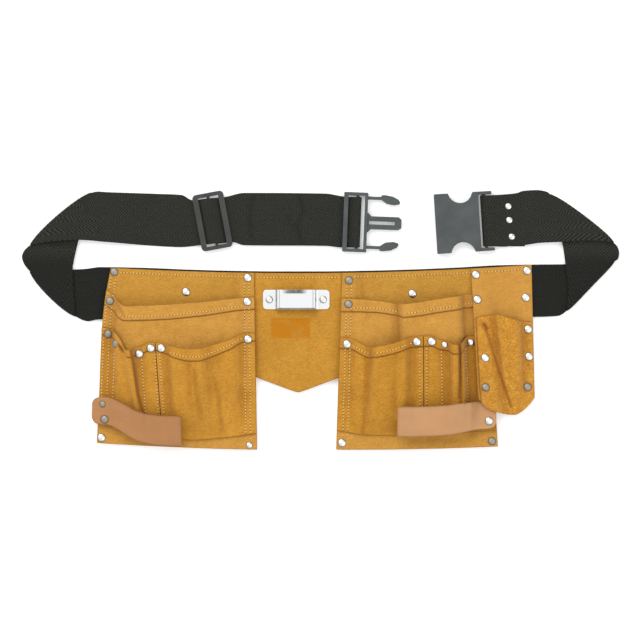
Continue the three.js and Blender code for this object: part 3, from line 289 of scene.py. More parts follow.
def shell(name, lower, upper, material, attributes=None, sharp=50):
    """A closed sheet between two grids of points in the apron's frame."""
    rows, columns = lower.shape[:2]
    middle = (lower + upper) / 2 * MM
    wide = np.linalg.norm(np.diff(middle, axis=1), axis=-1).sum(1).max()
    long = np.linalg.norm(np.diff(middle, axis=0), axis=-1).sum(0).max()
    ways = middle[1:, 1:] - middle[:-1, :-1], middle[1:, :-1] - middle[:-1, 1:]
    area = np.linalg.norm(np.cross(*ways), axis=-1).sum() / 2
    flat_sizes[name] = float(wide), float(long), float(min(area, wide * long))
    points = row_frame(np.concatenate([lower.reshape(-1, 3), upper.reshape(-1, 3)]))
    faces = shell_faces(rows, columns)
    if volume(points, faces) < 0:
        faces = faces[:, ::-1]
    doubled = {k: np.concatenate([v.ravel(), v.ravel()]) for k, v in (attributes or {}).items()}
    return add_mesh(name, points, faces, material, doubled, sharp)


def grid3(x, y, z):
    return np.stack(np.broadcast_arrays(x, y, z), -1).astype(float)


def ring_mask(shape, ring):
    """The cells of a grid that lie a number of cells inside its border."""
    inside = np.zeros(shape, bool)
    inside[ring : shape[0] - ring, ring : shape[1] - ring] = True
    inside[ring + 1 : shape[0] - ring - 1, ring + 1 : shape[1] - ring - 1] = False
    return inside


def rounded(low, high, shoulder=0.55, waist=0.45):
    """Round a sheet's four cut edges: the outermost ring is thinner, the next one a little."""
    low, high = low.copy(), high.copy()
    for ring, part in ((0, 1.0), (1, 0.22)):
        mask = ring_mask(low.shape, ring)
        high[mask] -= shoulder * part
        low[mask] += waist * part
    return low, high


def edge_shade(shape, edge=0.75, second=0.4):
    """A darker cut edge."""
    shade = np.zeros(shape)
    shade[ring_mask(shape, 1)] = second
    shade[ring_mask(shape, 0)] = edge
    return shade


def painted_hollow_shade(grid, strength, most):
    """Painted shade where a sheet hollows, darker where it dips below its surroundings."""
    soft = blurred(grid, 2.0)
    return np.clip((blurred(soft, 3.0) - soft) * strength - 0.04, 0, most)


class Ground:
    """Heights of what already lies there, in the apron's frame."""

    ABOVE = 400.0

    def __init__(self):
        self.vertices, self.faces, self.tree = [], [], None

    def add(self, *pieces):
        for piece in pieces:
            mesh = piece.data
            start = len(self.vertices)
            co = np.zeros(len(mesh.vertices) * 3, np.float32)
            mesh.vertices.foreach_get("co", co)
            local = co.reshape(-1, 3) / MM - SHIFT
            self.vertices += [tuple(p) for p in local.tolist()]
            self.faces += [tuple(start + i for i in p.vertices) for p in mesh.polygons]
        self.tree = BVHTree.FromPolygons(self.vertices, self.faces)
        return self

    def top(self, x, y, ground=0.0):
        start = Vector((float(x), float(y), self.ABOVE))
        place = self.tree.ray_cast(start, Vector((0, 0, -1)))[0]
        return ground if place is None else max(ground, place.z)

    def tops(self, x, y, ground=0.0):
        flat = [self.top(a, b, ground) for a, b in zip(np.ravel(x), np.ravel(y))]
        return np.array(flat).reshape(np.shape(x))


# Materials
class Graph:
    """A node material, put together with short calls. A plain colour is three numbers."""

    def __init__(self, name):
        self.material = bpy.data.materials.new(name)
        self.material.use_nodes = True
        self.tree = self.material.node_tree
        self.tree.nodes.clear()

    def put(self, socket, value):
        if isinstance(value, bpy.types.NodeSocket):
            self.tree.links.new(value, socket)
        elif socket.type == "RGBA":
            socket.default_value = (*value, 1.0)
        else:
            socket.default_value = value

    def node(self, kind, settings=None, **sockets):
        n = self.tree.nodes.new("ShaderNode" + kind)
        for key, value in (settings or {}).items():
            setattr(n, key, value)
        for key, value in sockets.items():
            self.put(n.inputs[key.replace("_", " ")], value)
        return n

    def math(self, operation, *values):
        n = self.node("Math", {"operation": operation})
        for socket, value in zip(n.inputs, values):
            self.put(socket, value)
        return n.outputs[0]

    def weighted(self, *terms):
        """The sum of values, each times its weight."""
        total = self.math("MULTIPLY", *terms[0])
        for value, weight in terms[1:]:
            total = self.math("MULTIPLY_ADD", value, weight, total)
        return total

    def noise(self, vector, scale, detail=2.0, roughness=0.5, distortion=0.0):
        sizes = dict(Scale=scale, Detail=detail, Roughness=roughness, Distortion=distortion)
        return self.node("TexNoise", Vector=vector, **sizes).outputs["Fac"]

    def scaled(self, vector, scale):
        return self.node("Mapping", Vector=vector, Scale=scale).outputs[0]

    def mix(self, share, a, b):
        n = self.node("Mix", {"data_type": "RGBA"})
        colours = [s for s in n.inputs if s.type == "RGBA"]
        for socket, value in zip((n.inputs[0], *colours), (share, a, b)):
            self.put(socket, value)
        return [s for s in n.outputs if s.type == "RGBA"][0]

    def between(self, value, low, high, to_low=0.0, to_high=1.0):
        ends = dict(From_Min=low, From_Max=high, To_Min=to_low, To_Max=to_high)
        return self.node("MapRange", Value=value, **ends).outputs[0]

    def attribute(self, name):
        kind = {"attribute_name": name, "attribute_type": "GEOMETRY"}
        return self.node("Attribute", kind).outputs["Fac"]

    def place(self):
        return self.node("TexCoord").outputs["Object"]

    def bump(self, height, distance, strength):
        return self.node("Bump", Strength=strength, Distance=distance, Height=height).outputs[0]

    def finish(self, colour, roughness, **fixed):
        shader = self.node("BsdfPrincipled", Base_Color=colour, Roughness=roughness, **fixed)
        self.node("OutputMaterial", Surface=shader.outputs[0])
        return self.material


LEVEL = 0.80  # the leather's own colour against its colour in the picture


def suede(name, colour, contrast=0.12, rough=0.0):
    """Split leather: a fine nap, soft blotches, painted shade in creases and hollows, and darker
    along cut edges.
    """
    g = Graph(name)
    base = np.array(colour) * LEVEL
    place = g.place()
    blotch = g.noise(place, 26.0, 4.0, 0.55, 0.6)
    patch = g.noise(place, 120.0, 4.0, 0.6, 0.3)
    nap = g.noise(place, 820.0, 3.0, 0.65)
    fibres = g.noise(g.scaled(place, (260.0, 900.0, 500.0)), 1.0, 3.0, 0.6, 0.3)
    fibres = g.math("SUBTRACT", fibres, 0.5)
    mixed = g.weighted((blotch, 0.18), (patch, 0.24), (nap, 0.58), (fibres, 0.45))
    dark = base * (1 - contrast * np.array([1.2, 1.5, 2.6]))
    tone = g.mix(g.between(mixed, 0.36, 0.64), dark, base * (1 + contrast))
    height = g.weighted((patch, 0.5), (nap, 0.5))
    if rough:
        tuft = g.noise(place, 330.0, 5.0, 0.7, 0.5)
        tone = g.mix(g.between(tuft, 0.58, 0.36, 0.0, rough), tone, base * [0.72, 0.62, 0.45])
        height = g.math("MULTIPLY_ADD", tuft, 1.6, height)
    scuffed = g.math("MULTIPLY", g.attribute("patch"), g.between(patch, 0.38, 0.52, 0.35, 1.0))
    tone = g.mix(scuffed, tone, base * [0.96, 0.74, 0.12])
    # The shade attribute: painted shade in hollows, creases and under hem steps, and darker cut edges
    tone = g.mix(g.attribute("shade"), tone, base * [0.36, 0.21, 0.07])
    normal = g.bump(height, 0.0006 if rough else 0.00035, 0.55)
    dull = g.between(nap, 0.3, 0.7, 0.82, 0.97)
    return g.finish(tone, dull, Normal=normal, Specular_IOR_Level=0.22, Sheen_Weight=0.1)


def smooth_leather(name, colour):
    """Pale vegetable-tanned leather: a fine closed grain with pores and faint streaks."""
    g = Graph(name)
    base = np.array(colour) * LEVEL
    place = g.place()
    lines = g.noise(g.scaled(place, (18.0, 160.0, 60.0)), 1.0, 4.0, 0.6, 0.4)
    blotch = g.noise(place, 45.0, 3.0)
    grain = g.node("TexVoronoi", Vector=place, Scale=1400.0).outputs["Distance"]
    mixed = g.weighted((blotch, 0.45), (lines, 0.55))
    tone = g.mix(g.between(mixed, 0.35, 0.65), base * 0.93, base * 1.05)
    tone = g.mix(g.attribute("shade"), tone, base * [0.42, 0.34, 0.3])
    sheen = g.between(lines, 0.3, 0.7, 0.5, 0.66)
    return g.finish(tone, sheen, Normal=g.bump(grain, 0.00012, 0.35), Specular_IOR_Level=0.4)


def webbing_material(name, colour):
    """Heavy webbing in a herringbone twill, with light flecks and faded places."""
    g = Graph(name)
    base = np.array(colour)
    place = g.place()
    wander = g.math("MULTIPLY", g.noise(place, 500.0, 2.0), 0.0012)
    along, across = (g.math("ADD", g.attribute(key), wander) for key in ("along", "across"))

    def wave(value, pitch):
        return g.math("SINE", g.math("MULTIPLY", value, 2 * math.pi / pitch))

    # The twill leans one way in each band across the web, then the other
    band = g.math("PINGPONG", across, 0.0068)
    twill = wave(g.math("ADD", along, g.math("MULTIPLY", band, 1.1)), 0.0031)
    cloth = g.weighted((twill, 0.65), (wave(across, 0.0013), 0.35))
    fuzz = g.noise(place, 1500.0, 3.0, 0.7)
    mixed = g.weighted((fuzz, 0.7), (cloth, 0.34))
    tone = g.mix(g.between(mixed, 0.08, 0.72), base * 0.04, base * 2.5)
    fleck = g.noise(place, 900.0, 2.0, 0.8)
    lit = g.math("MULTIPLY", g.between(fleck, 0.62, 0.74), g.between(cloth, -0.1, 0.7))
    tone = g.mix(g.math("MULTIPLY", lit, 0.7), tone, base * 6.0)
    fade = g.noise(place, 30.0, 3.0)
    tone = g.mix(g.between(fade, 0.3, 0.7, 0.0, 0.3), tone, base * 1.25)
    # The shade attribute: darker cut edges, the darker lower strip, and painted shade along the web's
    # creases
    tone = g.mix(g.attribute("shade"), tone, base * 0.25)
    normal = g.bump(g.math("MULTIPLY_ADD", fuzz, 0.5, cloth), 0.00045, 0.8)
    return g.finish(tone, 0.93, Normal=normal, Specular_IOR_Level=0.2, Sheen_Weight=0.06)


def plastic(name, colour):
    """Moulded plastic with a fine grain and slight wear."""
    g = Graph(name)
    base = np.array(colour)
    wear = g.noise(g.place(), 60.0, 3.0)
    tone = g.mix(g.between(wear, 0.35, 0.65), base * 0.88, base * 1.12)
    normal = g.bump(g.noise(g.place(), 1600.0, 2.0), 0.00006, 0.4)
    dull = g.between(wear, 0.3, 0.7, 0.36, 0.46)
    return g.finish(tone, dull, Normal=normal, Specular_IOR_Level=0.5)


def metal(name, colour, low, high):
    """Nickel, with a painted dark reflection at its rim, and darker where it is worn."""
    g = Graph(name)
    base = np.array(colour)
    wear = g.noise(g.place(), 320.0, 3.0)
    worn = g.attribute("worn")
    tone = g.mix(g.between(wear, 0.3, 0.7), base * 0.9, np.minimum(base * 1.06, 1))
    tone = g.mix(worn, tone, base * [0.4, 0.37, 0.33])
    # Painted dark reflection at the rim of each cap
    tone = g.mix(g.attribute("painted_rim_reflection"), tone, base * 0.12)
    dull = g.math("MULTIPLY_ADD", worn, 0.3, g.between(wear, 0.3, 0.7, low, high))
    return g.finish(tone, dull, Metallic=1.0)


def clip_material(name, colour, centre, low, high):
    """Polished steel, with painted dark reflections of the room in its bends and under its top edge.
    """
    g = Graph(name)
    base = np.array(colour)
    split = g.node("SeparateXYZ", Vector=g.place())
    x, y = (g.math("SUBTRACT", split.outputs[i], centre[i]) for i in (0, 1))
    wide = g.math("ABSOLUTE", x)

    def near(value, middle, half):
        return g.between(g.math("ABSOLUTE", g.math("SUBTRACT", value, middle)), half, half * 0.55)

    # Painted reflections: dark lines along the bends and a dark patch under the top edge, where the
    # steel mirrors the dark of the room
    marks = [
        g.math("MULTIPLY", near(wide, 0.0208, 0.0012), 0.85),
        g.math("MULTIPLY", near(wide, 0.0176, 0.0006), 0.5),
        g.math("MULTIPLY", near(y, -0.0094, 0.0009), g.between(wide, 0.0205, 0.0195, 0.0, 0.9)),
        g.math("MULTIPLY", near(y, 0.0084, 0.0027), near(x, -0.0015, 0.0135)),
    ]
    dark = marks[0]
    for mark in marks[1:]:
        dark = g.math("MAXIMUM", dark, mark)
    wear = g.noise(g.place(), 320.0, 3.0)
    # The noise makes the painted reflections a little weaker in places
    dark = g.math("MULTIPLY", dark, g.between(wear, 0.2, 0.6, 0.75, 1.0))
    tone = g.mix(dark, base, base * 0.16)
    return g.finish(tone, g.between(wear, 0.3, 0.7, low, high), Metallic=0.75)


def thread_material(name, colour):
    """Twisted thread."""
    g = Graph(name)
    base = np.array(colour) * LEVEL
    twist = g.noise(g.place(), 1800.0, 2.0)
    tone = g.mix(g.between(twist, 0.3, 0.7), base * 0.8, base * 1.15)
    return g.finish(tone, 0.8, Normal=g.bump(twist, 0.0001, 0.5), Specular_IOR_Level=0.3)


def speckled(name, scale, one, other, roughness, **fixed):
    """A dull surface that wavers between two colours."""
    g = Graph(name)
    return g.finish(g.mix(g.noise(g.place(), scale), one, other), roughness, **fixed)


clip_middle = (np.array([CLIP_X, CLIP_Y]) + SHIFT[:2]) * MM
M = {
    "backing": suede("leather_backing", (0.58, 0.292, 0.044), 0.16),
    "main": suede("leather_main_pocket", (0.623, 0.31, 0.056), 0.15),
    "front_left": suede("leather_front_left", (0.605, 0.287, 0.034), 0.18),
    "front_right": suede("leather_front_right", (0.565, 0.265, 0.028), 0.2),
    "bib": suede("leather_bib", (0.585, 0.282, 0.034), 0.16),
    "holster": suede("leather_holster_back", (0.625, 0.308, 0.058)),
    "holster_pouch": suede("leather_holster_pouch", (0.68, 0.33, 0.046), 0.3, rough=0.75),
    "loop_left": smooth_leather("loop_leather_left", (0.5, 0.228, 0.08)),
    "loop_right": smooth_leather("loop_leather_right", (0.615, 0.318, 0.138)),
    "webbing": webbing_material("belt_webbing", (0.0195, 0.0202, 0.016)),
    "plastic": plastic("buckle_plastic", (0.052, 0.06, 0.062)),
    "slider": plastic("adjuster_plastic", (0.028, 0.028, 0.027)),
    "nickel": metal("nickel", (0.9, 0.88, 0.83), 0.22, 0.36),
    "chrome": clip_material("chrome", (0.97, 0.98, 0.99), clip_middle.tolist(), 0.08, 0.16),
    "thread": thread_material("stitch_thread", (0.92, 0.6, 0.22)),
    # Painted shade: the dark colour of the discs that stand for needle holes
    "hole": speckled(
        "stitch_hole_painted_shade", 900.0, (0.13, 0.05, 0.008), (0.2, 0.08, 0.014), 0.95, Specular_IOR_Level=0.1
    ),
}

# Camera, lights and floor
camera = bpy.data.objects.new("camera", bpy.data.cameras.new("camera"))
bpy.context.scene.collection.objects.link(camera)
camera.location = (
    (VIEW_MIDDLE[0] + SHIFT[0]) * MM, (VIEW_MIDDLE[1] + SHIFT[1]) * MM, VIEW_HEIGHT
)
camera.data.sensor_width = SENSOR
camera.data.lens = SENSOR * (VIEW_HEIGHT - VIEW_PLANE * MM) / VIEW_WIDTH
camera.data.clip_end = 20
bpy.context.scene.camera = camera


def area_light(name, place, target, size, power):
    data = bpy.data.lights.new(name, "AREA")
    data.shape = "RECTANGLE"
    data.size, data.size_y = size
    data.energy = power
    light = bpy.data.objects.new(name, data)
    light.location = place
    light.rotation_mode = "QUATERNION"
    light.rotation_quaternion = (Vector(target) - Vector(place)).to_track_quat("-Z", "Y")
    bpy.context.scene.collection.objects.link(light)


area_light("key", (-1.0, 1.5, 2.0), (0, 0, 0), (1.9, 1.9), 40)
area_light("fill", (1.5, -0.9, 2.1), (0, 0, 0), (2.2, 2.2), 18)
world = bpy.data.worlds.new("studio")
bpy.context.scene.world = world
world.use_nodes = True
world.node_tree.nodes["Background"].inputs[0].default_value = (1.0, 1.0, 1.0, 1.0)
world.node_tree.nodes["Background"].inputs[1].default_value = WORLD_LIGHT
bpy.context.scene.view_settings.view_transform = "Standard"

floor_material = speckled(
    "floor_white", 8.0, [0.94] * 3, [0.96] * 3, 0.9, Specular_IOR_Level=0.1, Emission_Strength=0.22
)
FLOOR_HALF, FLOOR_Z = 4, -0.0002
corners = [(FLOOR_HALF * i, FLOOR_HALF * j, FLOOR_Z) for i, j in ((-1, -1), (1, -1), (1, 1), (-1, 1))]
floor = add_mesh("floor", corners, [(0, 1, 2, 3)], floor_material)

# Pouches. Columns: across, foot, main, front, mouth, lip, as in the CAD source
LEFT_COLUMNS = [
    (0.0, 0.0, 0, 0, 0.862, 0.66),
    (0.08, 0.075, 0.02, 0.02, 0.858, 0.655),
    (0.16, 0.15, 0.35, 0.4, 0.85, 0.622),
    (0.3, 0.28, 0.6, 0.5, 0.834, 0.583),
    (0.37, 0.34, 0.7, 1.0, 0.827, 0.566),
    (0.45, 0.4, 0.78, 0.65, 0.82, 0.562),
    (0.55, 0.49, 0.87, 0.65, 0.811, 0.572),
    (0.59, 0.525, 0.9, 0.03, 0.807, 0.585),
    (0.658, 0.581, 0.93, 0.0, 0.802, 0.59),
    (0.69, 0.62, 0.95, 0.12, 0.799, 0.588),
    (0.735, 0.658, 0.97, 0.0, 0.796, 0.57),
    (0.79, 0.69, 1.0, 0.05, 0.792, 0.556),
    (0.82, 0.71, 1.0, 0.9, 0.79, 0.54),
    (0.85, 0.724, 0.95, 0.85, 0.788, 0.54),
    (0.869, 0.742, 0.85, 0.35, 0.788, 0.58),
    (0.9, 0.8, 0.55, 0.45, 0.8, 0.62),
    (0.943, 0.935, 0.02, 0.0, 0.842, 0.65),
    (1.0, 1.0, 0, 0, 0.872, 0.66),
]
RIGHT_COLUMNS = [
    (0.0, 0.0, 0, 0, 0.855, 0.635),
    (0.08, 0.075, 0.03, 0.02, 0.852, 0.628),
    (0.14, 0.12, 0.2, 0.2, 0.848, 0.6),
    (0.2, 0.17, 0.3, 0.25, 0.843, 0.58),
    (0.24, 0.21, 0.33, 1.0, 0.84, 0.582),
    (0.38, 0.36, 0.4, 0.95, 0.82, 0.605),
    (0.43, 0.42, 1.0, 0.6, 0.817, 0.62),
    (0.47, 0.46, 1.0, 0.03, 0.819, 0.63),
    (0.552, 0.54, 1.0, 0.0, 0.826, 0.634),
    (0.605, 0.59, 1.0, 0.1, 0.832, 0.632),
    (0.66, 0.645, 1.0, 0.0, 0.838, 0.612),
    (0.715, 0.7, 0.98, 0.05, 0.843, 0.6),
    (0.74, 0.725, 0.97, 0.9, 0.845, 0.583),
    (0.77, 0.755, 0.96, 1.0, 0.847, 0.58),
    (0.787, 0.772, 0.9, 0.45, 0.849, 0.58),
    (0.805, 0.795, 0.75, 0.8, 0.851, 0.59),
    (0.84, 0.84, 0.02, 0.03, 0.857, 0.62),
    (1.0, 1.0, 0, 0, 0.86, 0.63),
]
SEAM = 8
FRONT_FOOT = {
    -1: smooth([0.0, 0.2, 0.46, 0.75, 1.0], [0.092, 0.066, 0.045, 0.075, 0.105]),
    1: smooth([0.0, 0.2, 0.36, 0.7, 1.0], [0.109, 0.084, 0.08, 0.084, 0.09]),
}
ROW_MAIN = smooth(
    [0.0, 0.04, 0.085, 0.19, 0.33, 0.46, 0.6, 1.0], [0, 0.03, 0.2, 0.6, 0.85, 0.95, 1, 1]
)
ROW_FRONT = smooth([0.0, 0.085, 0.19, 0.33, 0.46, 0.6, 1.0], [0, 0, 0.5, 0.82, 0.95, 1, 1])
undulation = Waves(3, 22, 80)
wrinkle = Waves(5, 7, 22)


def pouch_point(side, across, up):
    """x and y of a share of a pouch. side is -1 for the left pouch and 1 for the right."""
    edges = LEFT_EDGES if side < 0 else RIGHT_EDGES
    across, up = np.asarray(across, float), np.asarray(up, float)
    inner = BIB_WIDTH / 2 - edges["inner"] * (1 - up)
    width = POUCH_TOP_WIDTH + (edges["inner"] + edges["outer"]) * (1 - up)
    bow = edges["bow"] * np.sin(np.pi * np.clip(up, 0, 1) ** 1.8) * across**6
    x = APRON_OFFSET + side * (inner + across * width + bow)
    return x, rise(x) - (POUCH_HEIGHT - edges["tilt"] * across) * (1 - up)


def backing_height(x, y, reach):
    """The apron's own leather: over the belt, over the bib's margin, or on the table."""
    over_belt, beside, above = (
        ramp(-reach, CLIMB_END, far)
        for far in (
            y - WEBBING_BOTTOM - rise(x),
            BIB_WIDTH / 2 + BIB_LAP - np.abs(x - APRON_OFFSET),
            y - rise(x) - BIB_CORNER,
        )
    )
    over_bib = (WEBBING_STEP + LEATHER_STEP) * beside * above
    return UNDERSIDE + np.maximum(WEBBING_STEP * over_belt, over_bib)


# Creases of the front pockets and of the main pockets' mouths: points in the apron's frame, half
# width and depth of the shade
FRONT_CREASES = [
    ([(-199, -69), (-194, -100), (-190, -128), (-184, -150)], 1.7, 0.8),
    ([(145.5, -74), (145.9, -84), (146.0, -110), (145.2, -130)], 1.8, 0.75),
    ([(-210, -76), (-206, -81.5)], 1.8, 0.95),
    ([(113.4, -76), (112.5, -120), (111.5, -168)], 0.9, 0.3),
    ([(52.5, -84), (50, -112), (45, -168)], 2.6, 0.34),
    ([(-131.5, -102), (-129, -122), (-124, -152)], 3.0, 0.3),
    ([(-112, -106), (-107, -128), (-103, -165)], 3.0, 0.3),
]
MOUTH_CREASES = [
    ([(80.5, -30), (81.5, -50), (83.5, -78)], 2.2, 0.5),
    ([(-219, -20), (-212, -33), (-205, -46)], 1.6, 0.35),
]


def creased(x, y, creases):
    """The shade of lines of creases."""
    shade = np.zeros(np.shape(x))
    for points, wide, deep in creases:
        points = np.array(points, float)
        for (x0, y0), (x1, y1) in zip(points[:-1], points[1:]):
            length = (x1 - x0) ** 2 + (y1 - y0) ** 2
            t = np.clip(((x - x0) * (x1 - x0) + (y - y0) * (y1 - y0)) / length, 0, 1)
            far = np.hypot(x - x0 - t * (x1 - x0), y - y0 - t * (y1 - y0))
            shade = np.maximum(shade, deep * np.exp(-((far / wide) ** 2)))
    return shade


class Pouch:
    """One pouch's curves, and the sheets that are laid along them."""

    def __init__(self, side, columns):
        self.side = side
        across = [c[0] for c in columns]
        self.foot, self.main, self.front, self.mouth, self.lip = (
            smooth(across, [c[k] for c in columns]) for k in range(1, 6)
        )
        self.seam = columns[SEAM][0]

    def xy(self, across, up):
        """A point of the pouch. Low down the sheets pull in towards the foot's own columns."""
        share = np.clip(up / LIP_UP, 0, 1)
        a = self.foot(across) * (1 - share) + across * share
        return pouch_point(self.side, a, up)

    def heights(self, across, up, layer):
        """Undersides of the backing (0), the main pocket (1) and the front pocket (2)."""
        x, y = self.xy(across, up)
        z = backing_height(x, y, CLIMB_FAR if layer else CLIMB_NEAR)
        if layer >= 1:
            stand = self.main(across) * ROW_MAIN(up)
            soft = (0.9 * undulation(x, y) + 0.25 * wrinkle(x, y)) * ramp(0.05, 0.5, stand)
            z = z + LEATHER_STEP + MAIN_DEPTH * stand + soft
        if layer >= 2:
            stand = self.front(across) * ROW_FRONT(up)
            soft = 0.7 * undulation(y, x) + 0.35 * wrinkle(y, -x)
            z = z + LEATHER_STEP + FRONT_DEPTH * stand + soft * ramp(0.05, 0.6, stand)
        return x, y, z

    def sheet(self, name, layer, c0, c1, foot, top, material, hem=None, step=1.3, inset=(0, 0)):
        """One leather sheet from column c0 to c1. foot, top and hem are functions of across:
        where it starts, how high it reaches, and how deep its folded hem is, all as shares of
        the height. inset draws its two sides in."""
        columns = c0 + (c1 - c0) * shares(POUCH_TOP_WIDTH * (c1 - c0), step)
        high_edge = top(columns)
        foot = foot(columns)
        band = hem(columns) if hem else np.zeros_like(columns)
        body = shares(POUCH_HEIGHT * float((high_edge - foot).mean()), step)
        fine = HEM_STEP / POUCH_HEIGHT
        if hem:
            body = body[: -len(EDGE_STEPS)]
            body = body / body[-1]
            rows = [foot + s * (high_edge - band - fine - foot) for s in body]
            deep = POUCH_HEIGHT * float(band.mean())
            n = int(round(deep / step))
            ends = np.array([0, 1.0 / n, *np.linspace(2.0 / n, 1, n)])
            tail = 1 - np.array(EDGE_STEPS[::-1]) / deep
            ends = np.concatenate([ends[ends < tail[0] - 0.02], tail, [1.0]])
            rows += [high_edge - band + fine + s * (band - fine) for s in ends]
            first_hem = len(body)
        else:
            rows = [foot + s * (high_edge - foot) for s in body]
            first_hem = len(rows)
        up = np.array(rows)
        across = np.broadcast_to(columns, up.shape)
        x, y, low = self.heights(across, up, layer)
        x = x.copy()
        x[:, 0] += self.side * inset[0]
        x[:, -1] -= self.side * inset[1]
        high = low + LEATHER
        shade = edge_shade(up.shape)
        if hem:
            high[first_hem:] += HEM_RISE
            # Painted shade: a dark line along the step at the foot of the folded hem, and a lighter
            # one on the hem's first row
            shade[first_hem - 1] = np.maximum(shade[first_hem - 1], 0.85)
            shade[first_hem] = np.maximum(shade[first_hem], 0.45)
        low, high = rounded(low, high)
        # Painted shade in the sheet's hollows and along its creases
        shade = np.maximum(shade, painted_hollow_shade(high, 0.7, 0.26))
        shade = np.maximum(shade, creased(x, y, ([], MOUTH_CREASES, FRONT_CREASES)[layer]))
        return shell(name, grid3(x, y, low), grid3(x, y, high), M[material], {"shade": shade})


left, right = Pouch(-1, LEFT_COLUMNS), Pouch(1, RIGHT_COLUMNS)
# How deep the folded hems are, in millimetres over the pouch's height
HEM = {
    -1: smooth(
        [0.0, 0.12, 0.35, 0.6, 0.9, 1.0],
        np.array([12.6, 12.9, 14.5, 15.6, 15.4, 15.0]) / POUCH_HEIGHT,
    ),
    1: smooth([0.0, 0.38, 0.42, 0.9, 1.0], np.array([14, 12, 14, 14, 14]) / POUCH_HEIGHT),
}
FRONT_HEM = {
    -1: smooth(
        [0.0, 0.1, 0.2, 0.37, 0.5, 0.62, 0.67, 1.0],
        np.array([8.2, 9, 10.5, 13, 12, 9.6, 7.6, 7.5]) / POUCH_HEIGHT,
    ),
    1: smooth([0.0, 0.6, 1.0], np.array([11.5, 10.5, 8]) / POUCH_HEIGHT),
}
pieces = {}
for name, pouch in (("left", left), ("right", right)):
    seam, s = pouch.seam, pouch.side
    front = (FRONT_FOOT[s], pouch.lip, f"front_{name}", FRONT_HEM[s])
    rows = (
        (0, 0, 1, np.zeros_like, np.ones_like, "backing", None, 2.0),
        (1, 0, 1, np.zeros_like, pouch.mouth, "main", HEM[s]),
        (2, 0, seam, *front, 1.3, (0, CLEARANCE)),
        (2, seam, 1, *front, 1.3, (CLEARANCE, 0)),
    )
    for part, row in zip(POUCH_PARTS, rows):
        key = f"{name}_{part}"
        pieces[key] = pouch.sheet(f"leather_{key}", *row)

# Bib, with a plain pressed patch under the clip
PATCH = (-51.5, -10.0, -69.0, -47.4)
PRESSED = 0.3
SOFT_EDGE = 0.7
BLUNT = 2.0


def make_bib():
    """The pointed sheet, with its tip a little blunt."""
    half = BIB_WIDTH / 2
    wide = half + BIB_LAP
    across = -wide + 2 * wide * shares(2 * wide, 1.25)
    down = shares(BIB_HEIGHT, 1.25)
    x = APRON_OFFSET + np.broadcast_to(across, (len(down), len(across)))
    blunt = np.sqrt(np.abs(across) ** 2 + BLUNT**2) - 0.6
    foot = BIB_CORNER - BIB_POINT * np.clip(1 - blunt / half, 0, 1)
    y = foot * (1 - down[:, None]) + rise(x)
    low = UNDERSIDE + WEBBING_STEP + 0 * x
    high = low + LEATHER
    x0, x1, y0, y1 = PATCH
    inside = 1.0
    for far in (x - x0, x1 - x, y - y0, y1 - y):
        inside = inside * ramp(-SOFT_EDGE, SOFT_EDGE, far)
    shade = np.maximum(edge_shade(x.shape), 0.05 * inside)
    low, high = rounded(low, high)
    high = high - PRESSED * inside
    marks = {"shade": shade, "patch": inside}
    return shell("leather_bib", grid3(x, y, low), grid3(x, y, high), M["bib"], marks)


pieces["bib"] = make_bib()

# Belt: the same crossing lines as the CAD strap, resampled finely
TIP = BELT_SPAN / 2
LOW_LAYER = WEBBING_THICKNESS / 2
WRAP_RADIUS = BAR_RADIUS + CLEARANCE + WEBBING_THICKNESS / 2
SLIDER_X, MALE_X, FEMALE_X = -TIP + SLIDER_FROM_TIP, -TIP + MALE_FROM_TIP, TIP - FEMALE_FROM_TIP
MALE_BAR_Z = LOW_LAYER + WRAP_RADIUS
FEMALE_BAR_Z = UNDERSIDE + LOW_LAYER + WRAP_RADIUS
SLIDER_BAR_Z = 2 * WEBBING_THICKNESS + 2 * CLEARANCE + SLIDER_THICKNESS / 2


def across_upper(x, z, lean=0.0, width=1.0, climb=0.0):
    """A crossing line of the upper strip, leaning by degrees and moved up by climb."""
    half = WEBBING_WIDTH * width / 2
    shift = math.tan(math.radians(lean)) * half
    y = UPPER_STRIP_Y + climb
    return [x - shift, y + half, z, x + shift, y - half, z]


def round_bar(x, z, start, end, lean, width, climb):
    """Crossing lines round a bar, from one angle to another."""
    lines = []
    for i in range(9):
        turn = math.radians(start + (end - start) * i / 8)
        place = x + WRAP_RADIUS * math.cos(turn), z + WRAP_RADIUS * math.sin(turn)
        lines.append(across_upper(*place, lean, width, climb))
    return lines


# Each line of a folded end: share of the webbing width from the tip and height above the strip's
# own edge, for both ends of the line, then the share of the climb or how far the fold bows out
FOLDED_ENDS = {
    -1: (
        [
            ((1.64, 1.8), (1.64, 4.4), 1),
            ((1.47, 2.4), (1.09, 6.6), 1),
            ((1.39, 1.8), (0.65, 5.3), 1),
            ((1.34, 0.9), (0.18, 1.3), 1),
        ],
        [((1.08, 3.4), (0.07, -3.4)), ((1.02, -10.8), (0.01, -11.1)), ((0.98, -25), (0.06, -19.2))],
        [((1.03, 2.7), (0.17, -5.6)), ((1.28, -3.0), (1.24, -2.8))],
        (3.2, 3.0),
    ),
    1: (
        [
            ((1.83, 3.2), (1.83, 1.1), 0.25),
            ((1.57, 4.0), (1.51, 3.5), 0.9),
            ((1.4, 2.6), (1.07, 4.6), 1),
            ((1.34, 0.9), (0.55, 6.0), 1),
            ((1.32, -0.8), (0.1, 3.7), 1),
        ],
        [
            ((1.06, -1.9), (0.02, -0.6)),
            ((1.04, -9.2), (-0.01, -6.6)),
            ((1.02, -18.6), (0.01, -12.9)),
            ((0.96, -46), (0.04, -14.5)),
        ],
        [((0.99, 5.4), (0.09, 1.9)), ((1.15, -0.4), (1.09, -1.2))],
        (2.0, -0.6),
    ),
}


